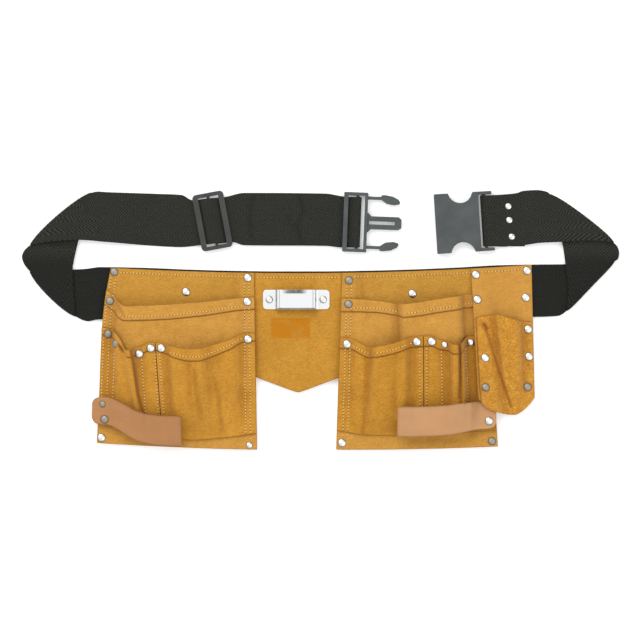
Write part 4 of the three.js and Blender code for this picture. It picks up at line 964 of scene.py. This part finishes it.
def folded_end(side, low_edge):
    """Crossing lines of a folded end, each with a bow: how far its middle lies off the line."""
    step = WEBBING_THICKNESS + FOLD_GAP
    top, bottom = UPPER_STRIP_Y + WEBBING_WIDTH / 2, UPPER_STRIP_Y - WEBBING_WIDTH / 2
    coming, middle, under, bows = FOLDED_ENDS[side]

    def line(a, b, edge_a, edge_b, z):
        xa, xb = (side * (TIP - p[0] * WEBBING_WIDTH) for p in (a, b))
        return np.array([xa, edge_a + a[1], z, xb, edge_b + b[1], z, 0, 0, 0, 0], float)

    def bend(edge, up, bow):
        way = edge[3:5] - edge[0:2]
        way = way / np.hypot(*way)
        out = np.array([side * abs(way[1]), up * abs(way[0])])
        lines = []
        for degrees in range(0, 181, 30):
            turn = math.radians(degrees)
            drop = [0, 0, -step / 2 * (1 - math.cos(turn))]
            lines.append(edge + [*drop, *drop, *(out * bow), *(out * math.sin(turn) * step / 2)])
        return lines

    on_table = LOW_LAYER + (UNDERSIDE + WEBBING_STEP if side > 0 else 0)
    fold_top = LOW_LAYER + 2 * step
    upper = [
        line(a, b, top, bottom, on_table + (fold_top - on_table) * lift) for a, b, lift in coming
    ]
    sloping = [line(a, b, bottom, bottom, LOW_LAYER + step) for a, b in middle]
    low_top = low_edge + WEBBING_WIDTH
    folded = line(*under[0], low_edge, low_top, LOW_LAYER + step)
    beyond = line(*under[1], low_edge, low_top, LOW_LAYER + UNDERSIDE / 2)
    return [
        *upper[:-1], *bend(upper[-1], 1, bows[0]), *sloping, *bend(folded, -1, bows[1]), beyond
    ]


def lower_strip(x0, x1):
    """The strip behind the apron."""
    lines = []
    for i, x in enumerate(np.linspace(x0, x1, 11)):
        bottom = WEBBING_BOTTOM + float(rise(x)) - {0: 1.7, 10: 2.4}.get(i, 0)
        z = UNDERSIDE + LOW_LAYER
        lines.append([x, bottom, z, x, bottom + WEBBING_WIDTH, z])
    return lines


APRON_LEFT = APRON_OFFSET - BIB_WIDTH / 2 - POUCH_TOP_WIDTH
HOLSTER_LEFT = APRON_OFFSET + BIB_WIDTH / 2 + POUCH_TOP_WIDTH - HOLSTER_LAP
HOLSTER_RIGHT = HOLSTER_LEFT + HOLSTER_WIDTH


def belt_lines():
    """All crossing lines, from the end at the slider to the end at the female buckle."""
    over = SLIDER_BAR_Z + 2 * WRAP_RADIUS - LOW_LAYER + CLEARANCE
    window = SLIDER_WIDTH / 2 - SLIDER_RAIL
    half = math.tan(math.radians(SLIDER_TILT)) / 2
    upper = LOW_LAYER + WEBBING_STEP

    def squeezed(off, z):
        return across_upper(SLIDER_X + off, z, SLIDER_TILT, SQUEEZE, off * half - SLIDER_SAG)

    def slider_to_male(z):
        return [
            squeezed(window, z),
            squeezed(SLIDER_WIDTH / 2, z),
            across_upper(SLIDER_X + SLIDER_WIDTH, z, 0, 1, 1.2),
            across_upper(MALE_X - SLIDER_WIDTH, z, 0, 1, 0.5),
            across_upper(MALE_X - 17, z, 0, 0.98, -1.6),
        ]

    low_left = WEBBING_BOTTOM + float(rise(APRON_LEFT))
    low_right = WEBBING_BOTTOM + float(rise(HOLSTER_RIGHT))
    return [
        *round_bar(SLIDER_X, SLIDER_BAR_Z, 60, 270, SLIDER_TILT, SQUEEZE, -SLIDER_SAG),
        *slider_to_male(LOW_LAYER),
        *round_bar(MALE_X, MALE_BAR_Z, -90, 90, MALE_TILT, 0.96, -MALE_SAG),
        across_upper(MALE_X - 9, upper, MALE_TILT, 0.96, -2),
        *slider_to_male(upper)[::-1],
        squeezed(BAR_RADIUS, over),
        squeezed(-BAR_RADIUS, over),
        squeezed(-window, upper),
        squeezed(-SLIDER_WIDTH / 2, upper),
        across_upper(SLIDER_X - SLIDER_WIDTH, LOW_LAYER, 0, 1, -0.8),
        across_upper(-TIP + 2.6 * WEBBING_WIDTH, LOW_LAYER, 0, 1, 0.3),
        *folded_end(-1, low_left),
        *lower_strip(-TIP + 1.5 * WEBBING_WIDTH, TIP - 1.4 * WEBBING_WIDTH),
        *folded_end(1, low_right)[::-1],
        across_upper(TIP - BELT_RIVETS_FROM_TIP + 8, UNDERSIDE + upper, 0, 1, 1),
        across_upper(TIP - BELT_RIVETS_FROM_TIP - 6, UNDERSIDE + upper, 0, 1, -0.5),
        *round_bar(FEMALE_X, FEMALE_BAR_Z, 90, 270, BUCKLE_TILT, 0.97, -0.8),
        across_upper(FEMALE_X + BELT_TAIL, UNDERSIDE + LOW_LAYER),
    ]


def strap(name, lines, thickness, columns, step, material, extra_shade=None):
    """A strap through crossing lines, whose two edges follow smooth curves. A line holds both
    ends' places, then how far its middle bows out and how far all but its ends is pushed out."""
    lines = np.array([[*line, 0, 0, 0, 0][:10] for line in lines], float)
    middle = (lines[:, :3] + lines[:, 3:6]) / 2
    length = np.concatenate([[0], np.cumsum(np.linalg.norm(np.diff(middle, axis=0), axis=1))])
    end_step = 0.5
    stops = [0.0, end_step, 1.1]
    for a, b in zip(length[:-1], length[1:]):
        n = max(2, int(math.ceil((b - a) / step)))
        stops += list(np.linspace(a, b, n + 1)[1:])
    stops = sorted(set(np.round(stops, 4)))
    stops = np.array(sorted({*stops[:-1], length[-1] - end_step, length[-1]}))
    at = [smooth(length, lines[:, k])(stops) for k in range(10)]
    a, b = np.stack(at[:3], -1), np.stack(at[3:6], -1)
    bow, push = np.stack([*at[6:8], 0 * stops], -1), np.stack([*at[8:], 0 * stops], -1)
    wide = float(np.linalg.norm(lines[0, :3] - lines[0, 3:6]))
    share = shares(wide, wide / columns)
    points = a[:, None] * (1 - share[None, :, None]) + b[:, None] * share[None, :, None]
    points += bow[:, None] * (4 * share * (1 - share))[None, :, None]
    points += push[:, None] * (1 - (2 * share - 1) ** 6)[None, :, None]
    along = np.gradient(points, axis=0)
    across = np.gradient(points, axis=1)
    out = np.cross(along, across)
    out /= np.maximum(np.linalg.norm(out, axis=-1, keepdims=True), 1e-9)
    thin = np.full(points.shape[:2], thickness / 2)
    round_off = 0.24 * thickness
    low_part, high_part = rounded(-thin, thin, round_off, round_off)
    lower, upper = points + out * low_part[..., None], points + out * high_part[..., None]
    run = np.broadcast_to(stops[:, None], points.shape[:2]) * MM
    side = np.broadcast_to(share[None] * WEBBING_WIDTH, points.shape[:2]) * MM
    shade = edge_shade(points.shape[:2], 0.5, 0.25)
    # Extra shade: for the web, a darker lower strip and painted shade along its creases
    if extra_shade is not None:
        shade = np.maximum(shade, extra_shade(points))
    piece = shell(
        name, lower, upper, material, {"along": run, "across": side, "shade": shade}, sharp=60
    )
    return piece, float(length[-1])


def web_shade(points):
    """The lower strip lies darker, and painted shade runs along creases in the web beside its buckles
    and folds.
    """
    x, y = points[..., 0], points[..., 1]
    creases = [
        ([(-283, 30), (-240, 31)], 3.0, 0.5),
        ([(-71, 80), (-74, 62), (-72, 36)], 2.6, 0.3),
        ([(-22, 81), (-17, 66), (-24, 50), (-19, 32)], 2.2, 0.4),
        ([(-34, 60), (-27, 44)], 2.6, 0.25),
        ([(262, 32), (240, 29)], 2.6, 0.4),
        ([(170, 82), (173, 30)], 2.0, 0.25),
    ]
    return np.maximum(0.6 * ramp(27, 8, y), creased(x, y, creases))


belt, belt_length = strap(
    "web_belt", belt_lines(), WEBBING_THICKNESS, 26, 2.4, M["webbing"], web_shade
)
pieces["webbing"] = belt

# Hammer loops, laid over the pouches: share of the length, of the drop, of the width, and of the
# gap between the loop's two layers
LOOP_LINES = np.array(
    [
        (0.0, 0, 0.5, 0),
        (0.03, 0, 0.82, 0),
        (0.1, 0, 0.93, 0),
        (0.15, 0, 0.94, 0),
        (0.2, 0.04, 0.95, 0.08),
        (0.3, 0.24, 0.97, 0.5),
        (0.4, 0.5, 1.0, 0.9),
        (0.52, 0.78, 1.0, 1.0),
        (0.66, 0.94, 1.0, 1.0),
        (0.8, 1.0, 1.0, 1.0),
        (0.92, 1.0, 1.0, 1.0),
    ]
)


def seat(under, x0, x1, y0, y1):
    """The lowest straight line from y0 to y1 that clears what lies between x0 and x1."""
    steps = 8
    over = 0.15
    spare = (y1 - y0) * over
    ys = np.linspace(y0 - spare, y1 + spare, steps + 1)
    xs = np.linspace(x0, x1, 7)
    heights = np.array([max(under.top(x, y) for x in xs) for y in ys])
    line = np.linspace(heights[0], heights[-1], steps + 1)
    lift = (heights - line).max()
    inset = over / (1 + 2 * over)
    ends = heights[0] + (heights[-1] - heights[0]) * np.array([inset, 1 - inset])
    return ends + lift + 2 * CLEARANCE


def hammer_loop(name, side, tab, length, drop, under, material):
    """A strap that starts under its tab, turns back at the far end and returns on top."""
    straight = length - (LOOP_GAP + LOOP_LEATHER) / 2
    curves = [smooth(LOOP_LINES[:, 0], LOOP_LINES[:, k]) for k in (1, 2, 3)]
    along = np.concatenate([[0, 0.01, 0.02], np.linspace(0.03, 0.92, 44)])
    rows = []
    for i, share in enumerate(along):
        x = tab[0] - side * share * straight
        y = tab[1] - drop * float(curves[0](share))
        full = LOOP_WIDTH / 2
        reach = 5.0
        past = -side * (length - straight) if i == len(along) - 1 else 0
        low, high = seat(under, x - reach, x + reach + past, y - full, y + full)
        rows.append([x, y, full * float(curves[1](share)), low, high, float(curves[2](share))])
    rows = np.array(rows)
    for k in (3, 4):
        rows[:, k] = np.maximum(blurred(rows[:, k], 2.0), rows[:, k] - 0.5)

    def line(row, lift, push=0.0):
        x, y, half, low, high, _ = row
        x = x - side * push
        return [x, y + half, high + lift, x, y - half, low + lift]

    between = CLEARANCE + LOOP_GAP * rows[:, 5]
    back = [line(r, LOOP_LEATHER / 2) for r in rows]
    front = [
        line(r, LOOP_LEATHER / 2 + LOOP_LEATHER + g) for r, g in zip(rows[::-1], between[::-1])
    ]
    end, gap = rows[-1], between[-1]
    radius = (LOOP_LEATHER + gap) / 2
    bend = []
    for degrees in range(15, 166, 15):
        turn = math.radians(degrees)
        lift = LOOP_LEATHER / 2 + (1 - math.cos(turn)) / 2 * (LOOP_LEATHER + gap)
        bend.append(line(end, lift, radius * math.sin(turn)))
    return strap(name, [*back, *bend, *front], LOOP_LEATHER, 22, 1.6, material)


loop_lengths = {}
for name, side, up, out, length, drop in (
    ("left", -1, 0.185, LOOP_OUT, LEFT_LOOP_LENGTH, LEFT_LOOP_DROP),
    ("right", 1, 0.175, 0, RIGHT_LOOP_LENGTH, RIGHT_LOOP_DROP),
):
    under = Ground().add(*(pieces[f"{name}_{part}"] for part in POUCH_PARTS))
    tab = np.array([float(v) for v in pouch_point(side, 1.0, up)]) + [side * out, 0]
    pieces[f"{name}_hammer_loop"], loop_lengths[name] = hammer_loop(
        f"loop_{name}", side, tab, length, drop, under, M[f"loop_{name}"]
    )

# Holster: across, foot, stand, mouth, reach, as in the CAD source
HOLSTER_COLUMNS = np.array(
    [
        (0.0, 0.0, 0, 0.34, 0.873),
        (0.04, 0.04, 0, 0.335, 0.897),
        (0.13, 0.16, 0.02, 0.325, 0.945),
        (0.25, 0.44, 0.06, 0.318, 0.985),
        (0.34, 0.52, 0.8, 0.32, 0.993),
        (0.52, 0.64, 1.0, 0.34, 0.998),
        (0.7, 0.74, 0.8, 0.36, 0.985),
        (0.84, 0.84, 0.06, 0.375, 0.958),
        (0.92, 0.92, 0, 0.38, 0.93),
        (1.0, 1.0, 0, 0.385, 0.893),
    ]
)
h_foot, h_stand, h_mouth, h_reach = (
    smooth(HOLSTER_COLUMNS[:, 0], HOLSTER_COLUMNS[:, k]) for k in range(1, 5)
)
H_ROW = smooth([0, 0.22, 0.33, 0.48, 0.62, 0.76, 0.9, 1.0], [0, 0.3, 0.75, 1.0, 0.95, 0.7, 0.3, 0])


def holster_xy(across, foot, down):
    """A point of the holster, where across is its column at the top and foot the one below."""
    share = across * (1 - down) + foot * down
    width = HOLSTER_WIDTH * (1 - down) + HOLSTER_FOOT_WIDTH * down
    x = HOLSTER_LEFT + HOLSTER_SLANT * down + share * width
    return x, rise(x) - down * HOLSTER_HEIGHT


CELL = 1.5
REACH = 4
STEEP = 0.18


def make_holster():
    """The holster's back, draped over what lies under it, and its pouch."""
    right_parts = [pieces[f"right_{part}"] for part in POUCH_PARTS]
    under_all = Ground().add(pieces["webbing"], pieces["right_hammer_loop"], *right_parts)
    # A plain even grid takes the drape, and both sheets read it
    gx = np.arange(HOLSTER_LEFT - 12, HOLSTER_RIGHT + 22, CELL)
    gy = np.arange(-HOLSTER_HEIGHT - 12, 18, CELL)
    px, py = np.meshgrid(gx, gy)
    tops = under_all.tops(px, py, UNDERSIDE - CLEARANCE)
    wide = tops.copy()
    for dx in range(-REACH, REACH + 1):
        for dy in range(-REACH, REACH + 1):
            if dx * dx + dy * dy <= REACH**2 + 1:
                moved = np.roll(np.roll(tops, dx, 1), dy, 0)
                wide = np.maximum(wide, moved - STEEP * math.hypot(dx, dy) * CELL)
    drape = np.maximum(blurred(wide, 2.6), tops) + CLEARANCE
    drape = np.maximum(blurred(drape, 1.2), tops + CLEARANCE)

    def at(x, y):
        i = np.clip((x - gx[0]) / CELL, 0, len(gx) - 1.001)
        j = np.clip((y - gy[0]) / CELL, 0, len(gy) - 1.001)
        i0, j0 = i.astype(int), j.astype(int)
        u, v = i - i0, j - j0
        return (
            drape[j0, i0] * (1 - u) * (1 - v) + drape[j0, i0 + 1] * u * (1 - v)
            + drape[j0 + 1, i0] * (1 - u) * v + drape[j0 + 1, i0 + 1] * u * v
        )

    across = shares(HOLSTER_WIDTH, 1.2)
    down = shares(HOLSTER_HEIGHT, 1.2)
    a = np.broadcast_to(across, (len(down), len(across)))
    d = down[:, None] * h_reach(a)
    x, y = holster_xy(a, h_foot(a), d)
    low = at(x, y)
    back_low, back_high = rounded(low, low + LEATHER)
    back = shell(
        "holster_back_leather", grid3(x, y, back_low), grid3(x, y, back_high), M["holster"],
        {"shade": edge_shade(x.shape)},
    )
    c0 = float(HOLSTER_COLUMNS[1, 0])
    across = c0 + (1 - c0) * shares(HOLSTER_WIDTH * (1 - c0), 1.1)
    down = shares(HOLSTER_HEIGHT * 0.64, 1.1)
    a = np.broadcast_to(across, (len(down), len(across)))
    m = h_mouth(a)
    d = m + down[:, None] * (h_reach(a) - m)
    x, y = holster_xy(a, h_foot(a), d)
    stand = h_stand(a) * H_ROW(d / np.maximum(h_reach(a), 1e-6))
    soft = 0.8 * undulation(x, y) + 0.5 * wrinkle(x, y)
    low = at(x, y) + LEATHER_STEP + HOLSTER_DEPTH * stand + soft * ramp(0.05, 0.5, stand)
    # Painted shade in the pouch's hollows, along its diagonal crease and in the dark gap under its
    # mouth
    shade = np.maximum(edge_shade(x.shape), painted_hollow_shade(low, 0.6, 0.2))
    folds = [
        ([(174, -58), (178, -72), (188, -104), (200.5, -140)], 1.7, 0.7),
        ([(172, -54), (174.5, -59)], 2.4, 1.0),
    ]
    shade = np.maximum(shade, creased(x, y, folds))
    pouch_low, pouch_high = rounded(low, low + LEATHER)
    pouch = shell(
        "holster_pouch_leather", grid3(x, y, pouch_low), grid3(x, y, pouch_high),
        M["holster_pouch"], {"shade": shade},
    )
    return back, pouch


pieces["holster_back"], pieces["holster_pouch"] = make_holster()

# Hard pieces: the CAD bodies with softened edges
def softened(name, node, material, bevel):
    """A copy of a CAD node with rounded edges."""
    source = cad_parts[node]
    mesh = source.data.copy()
    mesh.name = name
    mesh.materials.clear()
    mesh.materials.append(material)
    piece = bpy.data.objects.new(name, mesh)
    bpy.context.scene.collection.objects.link(piece)
    b = bmesh.new()
    b.from_mesh(mesh)
    bmesh.ops.remove_doubles(b, verts=b.verts, dist=1e-6)
    bmesh.ops.dissolve_limit(b, angle_limit=math.radians(2), verts=b.verts, edges=b.edges)
    b.to_mesh(mesh)
    b.free()
    mesh.shade_smooth()
    modifier = piece.modifiers.new("soft_edges", "BEVEL")
    modifier.width = bevel * MM
    modifier.segments = 2
    modifier.limit_method = "ANGLE"
    modifier.angle_limit = math.radians(32)
    modifier.harden_normals = False
    mesh.set_sharp_from_angle(angle=math.radians(40))
    weighted = piece.modifiers.new("weighted", "WEIGHTED_NORMAL")
    weighted.keep_sharp = False
    return piece


hard = {
    "buckle_male": softened("buckle_male_plastic", "buckle_male", M["plastic"], 0.55),
    "buckle_female": softened("buckle_female_plastic", "buckle_female", M["plastic"], 0.7),
    "slide_adjuster": softened("slide_adjuster_plastic", "slide_adjuster", M["slider"], 0.6),
    "tool_clip": softened("tool_clip_steel", "tool_clip", M["chrome"], 0.3),
}

# Rivets: domed caps pressed into the leather
SMALL = {
    "rivet_right_7": 0.75, "rivet_right_8": 0.85, "rivet_left_12": 0.8, "rivet_left_15": 0.75,
    "rivet_clip_1": 0.9, "rivet_clip_2": 0.9,
    "rivet_belt_1": 0.8, "rivet_belt_2": 0.8, "rivet_belt_3": 0.8,
}
RIVETS = []  # name, x, y, and size against CAP_RADIUS


def add_rivets(label, places):
    for i, (x, y) in enumerate(places, 1):
        name = f"rivet_{label}_{i}"
        RIVETS.append((name, float(x), float(y), SMALL.get(name, 1.0)))


# Shares of the pouches across and up, and of the holster across and down
LEFT_RIVETS = [
    (0.97, 0.976), (0.471, 0.881), (0.046, 0.97), (0.051, 0.835), (0.049, 0.624), (0.968, 0.81),
    (0.961, 0.623), (0.905, 0.57), (0.757, 0.521), (0.685, 0.556), (0.618, 0.558), (0.974, 0.224),
    (0.957, 0.139), (0.973, 0.032), (0.048, 0.024),
]
RIGHT_RIVETS = [
    (0.051, 0.955), (0.488, 0.872), (0.051, 0.821), (0.048, 0.596), (0.508, 0.602), (0.606, 0.601),
    (0.691, 0.581), (0.866, 0.588), (0.952, 0.146), (0.034, 0.038), (0.965, 0.032),
]
HOLSTER_RIVETS = [
    (0.08, 0.044), (0.08, 0.21), (0.923, 0.038), (0.89, 0.218), (0.917, 0.43), (0.918, 0.614),
    (0.88, 0.817), (0.158, 0.604), (0.14, 0.8),
]
belt_x = TIP - BELT_RIVETS_FROM_TIP
add_rivets("left", [pouch_point(-1, *place) for place in LEFT_RIVETS])
add_rivets("right", [pouch_point(1, *place) for place in RIGHT_RIVETS])
add_rivets("holster", [holster_xy(across, across, down) for across, down in HOLSTER_RIVETS])
add_rivets("clip", [(CLIP_X + way * (CLIP_LENGTH - CLIP_TAB) / 2, CLIP_Y) for way in (-1, 1)])
add_rivets("belt", [(belt_x + x, UPPER_STRIP_Y + y) for x, y in ((-1, 14.5), (0, 0), (2.6, -17.4))])

everything = Ground().add(*pieces.values(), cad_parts["tool_clip"])
CAP = [  # share of the radius, height
    (1.0, 0.0), (1.02, 0.18), (0.99, 0.42), (0.93, 0.62), (0.86, 0.72), (0.8, 0.8), (0.66, 1.15),
    (0.48, 1.45), (0.28, 1.64), (0.12, 1.69),
]
WORN = {f"rivet_left_{i}" for i in (1, 6, 7, 8, 12, 13)}
WORN |= {f"rivet_right_{i}" for i in (1, 3, 11)} | {"rivet_holster_7", "rivet_holster_9"}
# Painted dark reflection: how dark each ring of the cap is painted
PAINTED_RIM_SHARES = [0.9, 1.0, 0.95, 0.8, 0.85, 0.3, 0.0, 0, 0, 0]  # dark shares of the cap's rings


MOST_SLOPE = 0.28
UNEVEN = 0.018
SUNK = 0.15


def rivet_mesh(rows):
    """Domed caps, each tilted to the leather under it, with a painted dark reflection at their rim,
    and their wear.
    """
    vertices, faces, painted_rim_reflection, worn = [], [], [], []
    turns = np.linspace(0, 2 * math.pi, 25)[:-1]
    n = len(turns)
    rng = np.random.default_rng(11)
    for name, x, y, small in rows:
        radius = CAP_RADIUS * small
        ring = [(x + radius * math.cos(t), y + radius * math.sin(t)) for t in turns[::2]]
        inner = [(x + radius / 2 * math.cos(t), y + radius / 2 * math.sin(t)) for t in turns[::3]]
        p = np.array([(px, py, everything.top(px, py)) for px, py in [*ring, *inner, (x, y)]])
        sides = np.c_[p[:, 0] - x, p[:, 1] - y, np.ones(len(p))]
        fit = np.linalg.lstsq(sides, p[:, 2], rcond=None)[0]
        slope = np.clip(fit[:2], -MOST_SLOPE, MOST_SLOPE) + rng.normal(0, UNEVEN, 2)
        over = (p[:, 2] - ((p[:, :2] - [x, y]) @ slope)).max()
        middle = Vector((x, y, min(over, fit[2] + 0.8) - SUNK))
        normal = np.array([-slope[0], -slope[1], 1.0])
        normal /= np.linalg.norm(normal)
        turn = Vector((0, 0, 1)).rotation_difference(Vector(normal)).to_matrix()
        start = len(vertices)
        painted_rim_reflection += [dark for dark in PAINTED_RIM_SHARES for _ in turns] + [0, 1]
        worn += [float(name in WORN)] * (len(PAINTED_RIM_SHARES) * n + 2)
        local = [
            (radius * share * math.cos(t), radius * share * math.sin(t), height * small)
            for share, height in CAP
            for t in turns
        ]
        local += [(0, 0, CAP_DOME * small), (0, 0, 0)]
        vertices += [list(turn @ Vector(place) + middle) for place in local]
        faces += ring_faces(start, len(CAP), n)
        last, top = start + (len(CAP) - 1) * n, start + len(CAP) * n
        for j in range(n):
            faces.append((last + j, last + (j + 1) % n, top))
            faces.append((start + (j + 1) % n, start + j, top + 1))
    return row_frame(vertices), faces, {"painted_rim_reflection": painted_rim_reflection, "worn": worn}


LABELS = {
    "rivets_left_pouch": "left", "rivets_right_pouch": "right", "rivets_holster": "holster",
    "rivets_clip": "clip", "rivets_belt": "belt",
}
groups = {name: [r for r in RIVETS if f"_{label}_" in r[0]] for name, label in LABELS.items()}
rivet_pieces = {}
for name, rows in groups.items():
    vertices, faces, marks = rivet_mesh(rows)
    rivet_pieces[name] = add_mesh(name, vertices, faces, M["nickel"], marks, sharp=0)

# Stitches: short raised threads, with a small disc of painted shade for the needle hole between one
# and the next
PITCH = 3.3
# How far each line of stitches lies from the edge that it follows
TOP_SEAM, BIB_SEAM, HOLSTER_SEAM = 4.6, 5.0, 4.4
SIDE_SEAMS = (6.1, 11.2)
MAIN_HEM_SEAM, FRONT_HEM_SEAM = 3.9, 4.2
POUCH_MEAN_WIDTH = 160
stitch_runs = []
sewn = Ground().add(*(pieces[key] for key in pieces if "loop" not in key and "holster" not in key))


def run(points, ground=sewn):
    """A line of stitches through points, on what they are sewn into."""
    stitch_runs.append((np.array(points, float), ground))


def pouch_run(side, across_up):
    """A line of stitches through (across, up) pairs, as seen: straight shares of the pouch."""
    pts = np.array(across_up, float)
    t = np.linspace(0, 1, len(pts))
    fine = np.linspace(0, 1, 40)
    run(np.c_[pouch_point(side, smooth(t, pts[:, 0])(fine), smooth(t, pts[:, 1])(fine))])


def from_top(mm):
    """The share of a pouch's height that lies some millimetres below its top."""
    return 1 - mm / POUCH_HEIGHT


for side in (-1, 1):
    last = 0.935 if side < 0 else 0.9
    pouch_run(side, [(across, from_top(TOP_SEAM)) for across in (0.08, 0.5, last)])
    for mm in SIDE_SEAMS:
        share = mm / POUCH_MEAN_WIDTH
        pouch_run(side, [(share, from_top(10)), (share, 0.5), (share, 0.055)])
# Hems
for side, pouch in ((-1, left), (1, right)):
    u = np.linspace(0.08, 0.9, 30)
    pouch_run(side, np.c_[u, pouch.mouth(u) - HEM[side](u) + MAIN_HEM_SEAM / POUCH_HEIGHT])
    u = np.linspace(0.085, 0.6 if side < 0 else 0.5, 24)
    pouch_run(side, np.c_[u, pouch.lip(u) - FRONT_HEM[side](u) + FRONT_HEM_SEAM / POUCH_HEIGHT])
# Seams down the fronts, and the outer bands
for high, low in ((0.633, 0.566), (0.6625, 0.6016), (0.753, 0.676)):
    pouch_run(-1, [(high - (high - low) * 0.09, 0.53), (high - (high - low) * 0.86, 0.08)])
for high, low, up in ((0.526, 0.519, 0.57), (0.572, 0.563, 0.57), (0.668, 0.66, 0.55)):
    pouch_run(1, [(high, up), (low, 0.1)])
for side, across, ups in (
    (-1, 0.985, (0.95, 0.6, 0.24)), (-1, 0.952, (0.94, 0.6, 0.24)), (-1, 0.915, (0.52, 0.26)),
    (1, 0.83, (0.56, 0.24)), (1, 0.965, (0.115, 0.06)),
):
    pouch_run(side, [(across, up) for up in ups])
# Bib and holster
x = np.linspace(APRON_OFFSET - 44, APRON_OFFSET + 44, 30)
run(np.c_[x, rise(x) - BIB_SEAM])
x = np.linspace(HOLSTER_LEFT + 11, HOLSTER_RIGHT - 9, 20)
run(np.c_[x, rise(x) - HOLSTER_SEAM], everything)


THREAD_HALF = 1.02
THREAD_FAT = 0.58
THREAD_RISE, THREAD_DIP = 0.34, 0.12
HOLE_AHEAD = 0.6
HOLE_LENGTH, HOLE_WIDTH = 0.5, 0.55
HOLE_LIFT = 0.05
HOLE_MOST = 0.25
CAP_SPACE = 1.2
AROUND, STEPS, HOLE_SIDES = 6, 6, 8


def make_stitches():
    """Threads as short tubes that dip at both ends, and small discs of painted shade for the needle
    holes.
    """
    threads, thread_faces, holes, hole_faces = [], [], [], []
    rng = np.random.default_rng(23)
    caps = np.array([[r[1], r[2]] for r in RIVETS])
    around = np.linspace(0, 2 * math.pi, AROUND + 1)[:-1]
    turns = np.linspace(0, 2 * math.pi, HOLE_SIDES + 1)[:-1]
    for line, ground in stitch_runs:
        length = np.concatenate([[0], np.cumsum(np.linalg.norm(np.diff(line, axis=0), axis=1))])
        count = int(length[-1] / PITCH)
        for k in range(count):
            centre = (k + 0.5) * length[-1] / count
            half = THREAD_HALF + rng.normal(0, 0.08)
            ends = [
                [np.interp(centre + way * half, length, line[:, i]) for i in (0, 1)]
                for way in (-1, 1)
            ]
            middle = np.mean(ends, axis=0)
            z = [ground.top(*e) for e in ends]
            zm = ground.top(*middle)
            near_cap = np.hypot(*(caps - middle).T).min() < CAP_RADIUS + CAP_SPACE
            covered = everything.top(*middle) > zm + 0.5
            broken = abs(z[0] - z[1]) > 1.8 or zm < max(z) - 0.9
            if near_cap or covered or broken:
                continue
            a, b = np.array([*ends[0], z[0]]), np.array([*ends[1], z[1]])
            way = b - a
            flat = np.array([way[0], way[1], 0.0])
            flat /= np.linalg.norm(flat)
            side = np.array([-flat[1], flat[0], 0.0])
            start = len(threads)
            crest = max(zm, (z[0] + z[1]) / 2)
            for s in np.linspace(-1, 1, STEPS):
                fat = THREAD_FAT * math.sqrt(max(0.0, 1 - (abs(s) ** 3) * 0.86))
                base = (a + b) / 2 + way * s / 2
                base[2] = crest * (1 - s * s) + (z[0] if s < 0 else z[1]) * s * s
                base[2] += THREAD_RISE * (1 - s * s) - THREAD_DIP * s * s
                for t in around:
                    up = np.array([0, 0, 0.8 * fat * math.sin(t)])
                    threads.append(base + side * fat * 1.05 * math.cos(t) + up)
            thread_faces += ring_faces(start, STEPS, AROUND)
            thread_faces.append(tuple(range(start, start + AROUND))[::-1])
            thread_faces.append(tuple(range(len(threads) - AROUND, len(threads))))
            spot = b + flat * HOLE_AHEAD
            z_spot = ground.top(spot[0], spot[1])
            if abs(z_spot - b[2]) < 0.6 and centre + half + 1.2 < length[-1]:
                start = len(holes)
                holes.append([spot[0], spot[1], z_spot + HOLE_LIFT])
                for t in turns:
                    o = flat * HOLE_LENGTH * math.cos(t) + side * HOLE_WIDTH * math.sin(t)
                    hz = ground.top(spot[0] + o[0], spot[1] + o[1])
                    hz = min(max(hz, z_spot - HOLE_MOST), z_spot + HOLE_MOST)
                    holes.append([spot[0] + o[0], spot[1] + o[1], hz + HOLE_LIFT])
                for j in range(HOLE_SIDES):
                    hole_faces.append((start, start + 1 + j, start + 1 + (j + 1) % HOLE_SIDES))
    thread = add_mesh("stitch_threads", row_frame(threads), thread_faces, M["thread"], sharp=0)
    dots = add_mesh("stitch_needle_hole_shade", row_frame(holes), hole_faces, M["hole"], sharp=0)
    return thread, dots, len(threads) // (AROUND * STEPS)


thread, needle_holes, stitch_count = make_stitches()

# Riding, replacing
for key, piece in pieces.items():
    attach(piece, "root")
    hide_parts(key)
for key, piece in hard.items():
    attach(piece, "root")
    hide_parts(key)
for key, piece in rivet_pieces.items():
    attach(piece, "root")
    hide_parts(*(r[0] for r in groups[key]))
for piece in (thread, needle_holes):
    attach(piece, "root")

# The leather sheets, whose flat sizes were measured along them in shell, leaving out the web belt and
# the loops: each key is split into its name and part
for key, piece in pieces.items():
    if piece.name not in flat_sizes or key == "webbing" or "loop" in key:
        continue
    name, _, part = key.partition("_")

print("stitches", stitch_count, "belt", round(belt_length), "mm", loop_lengths)
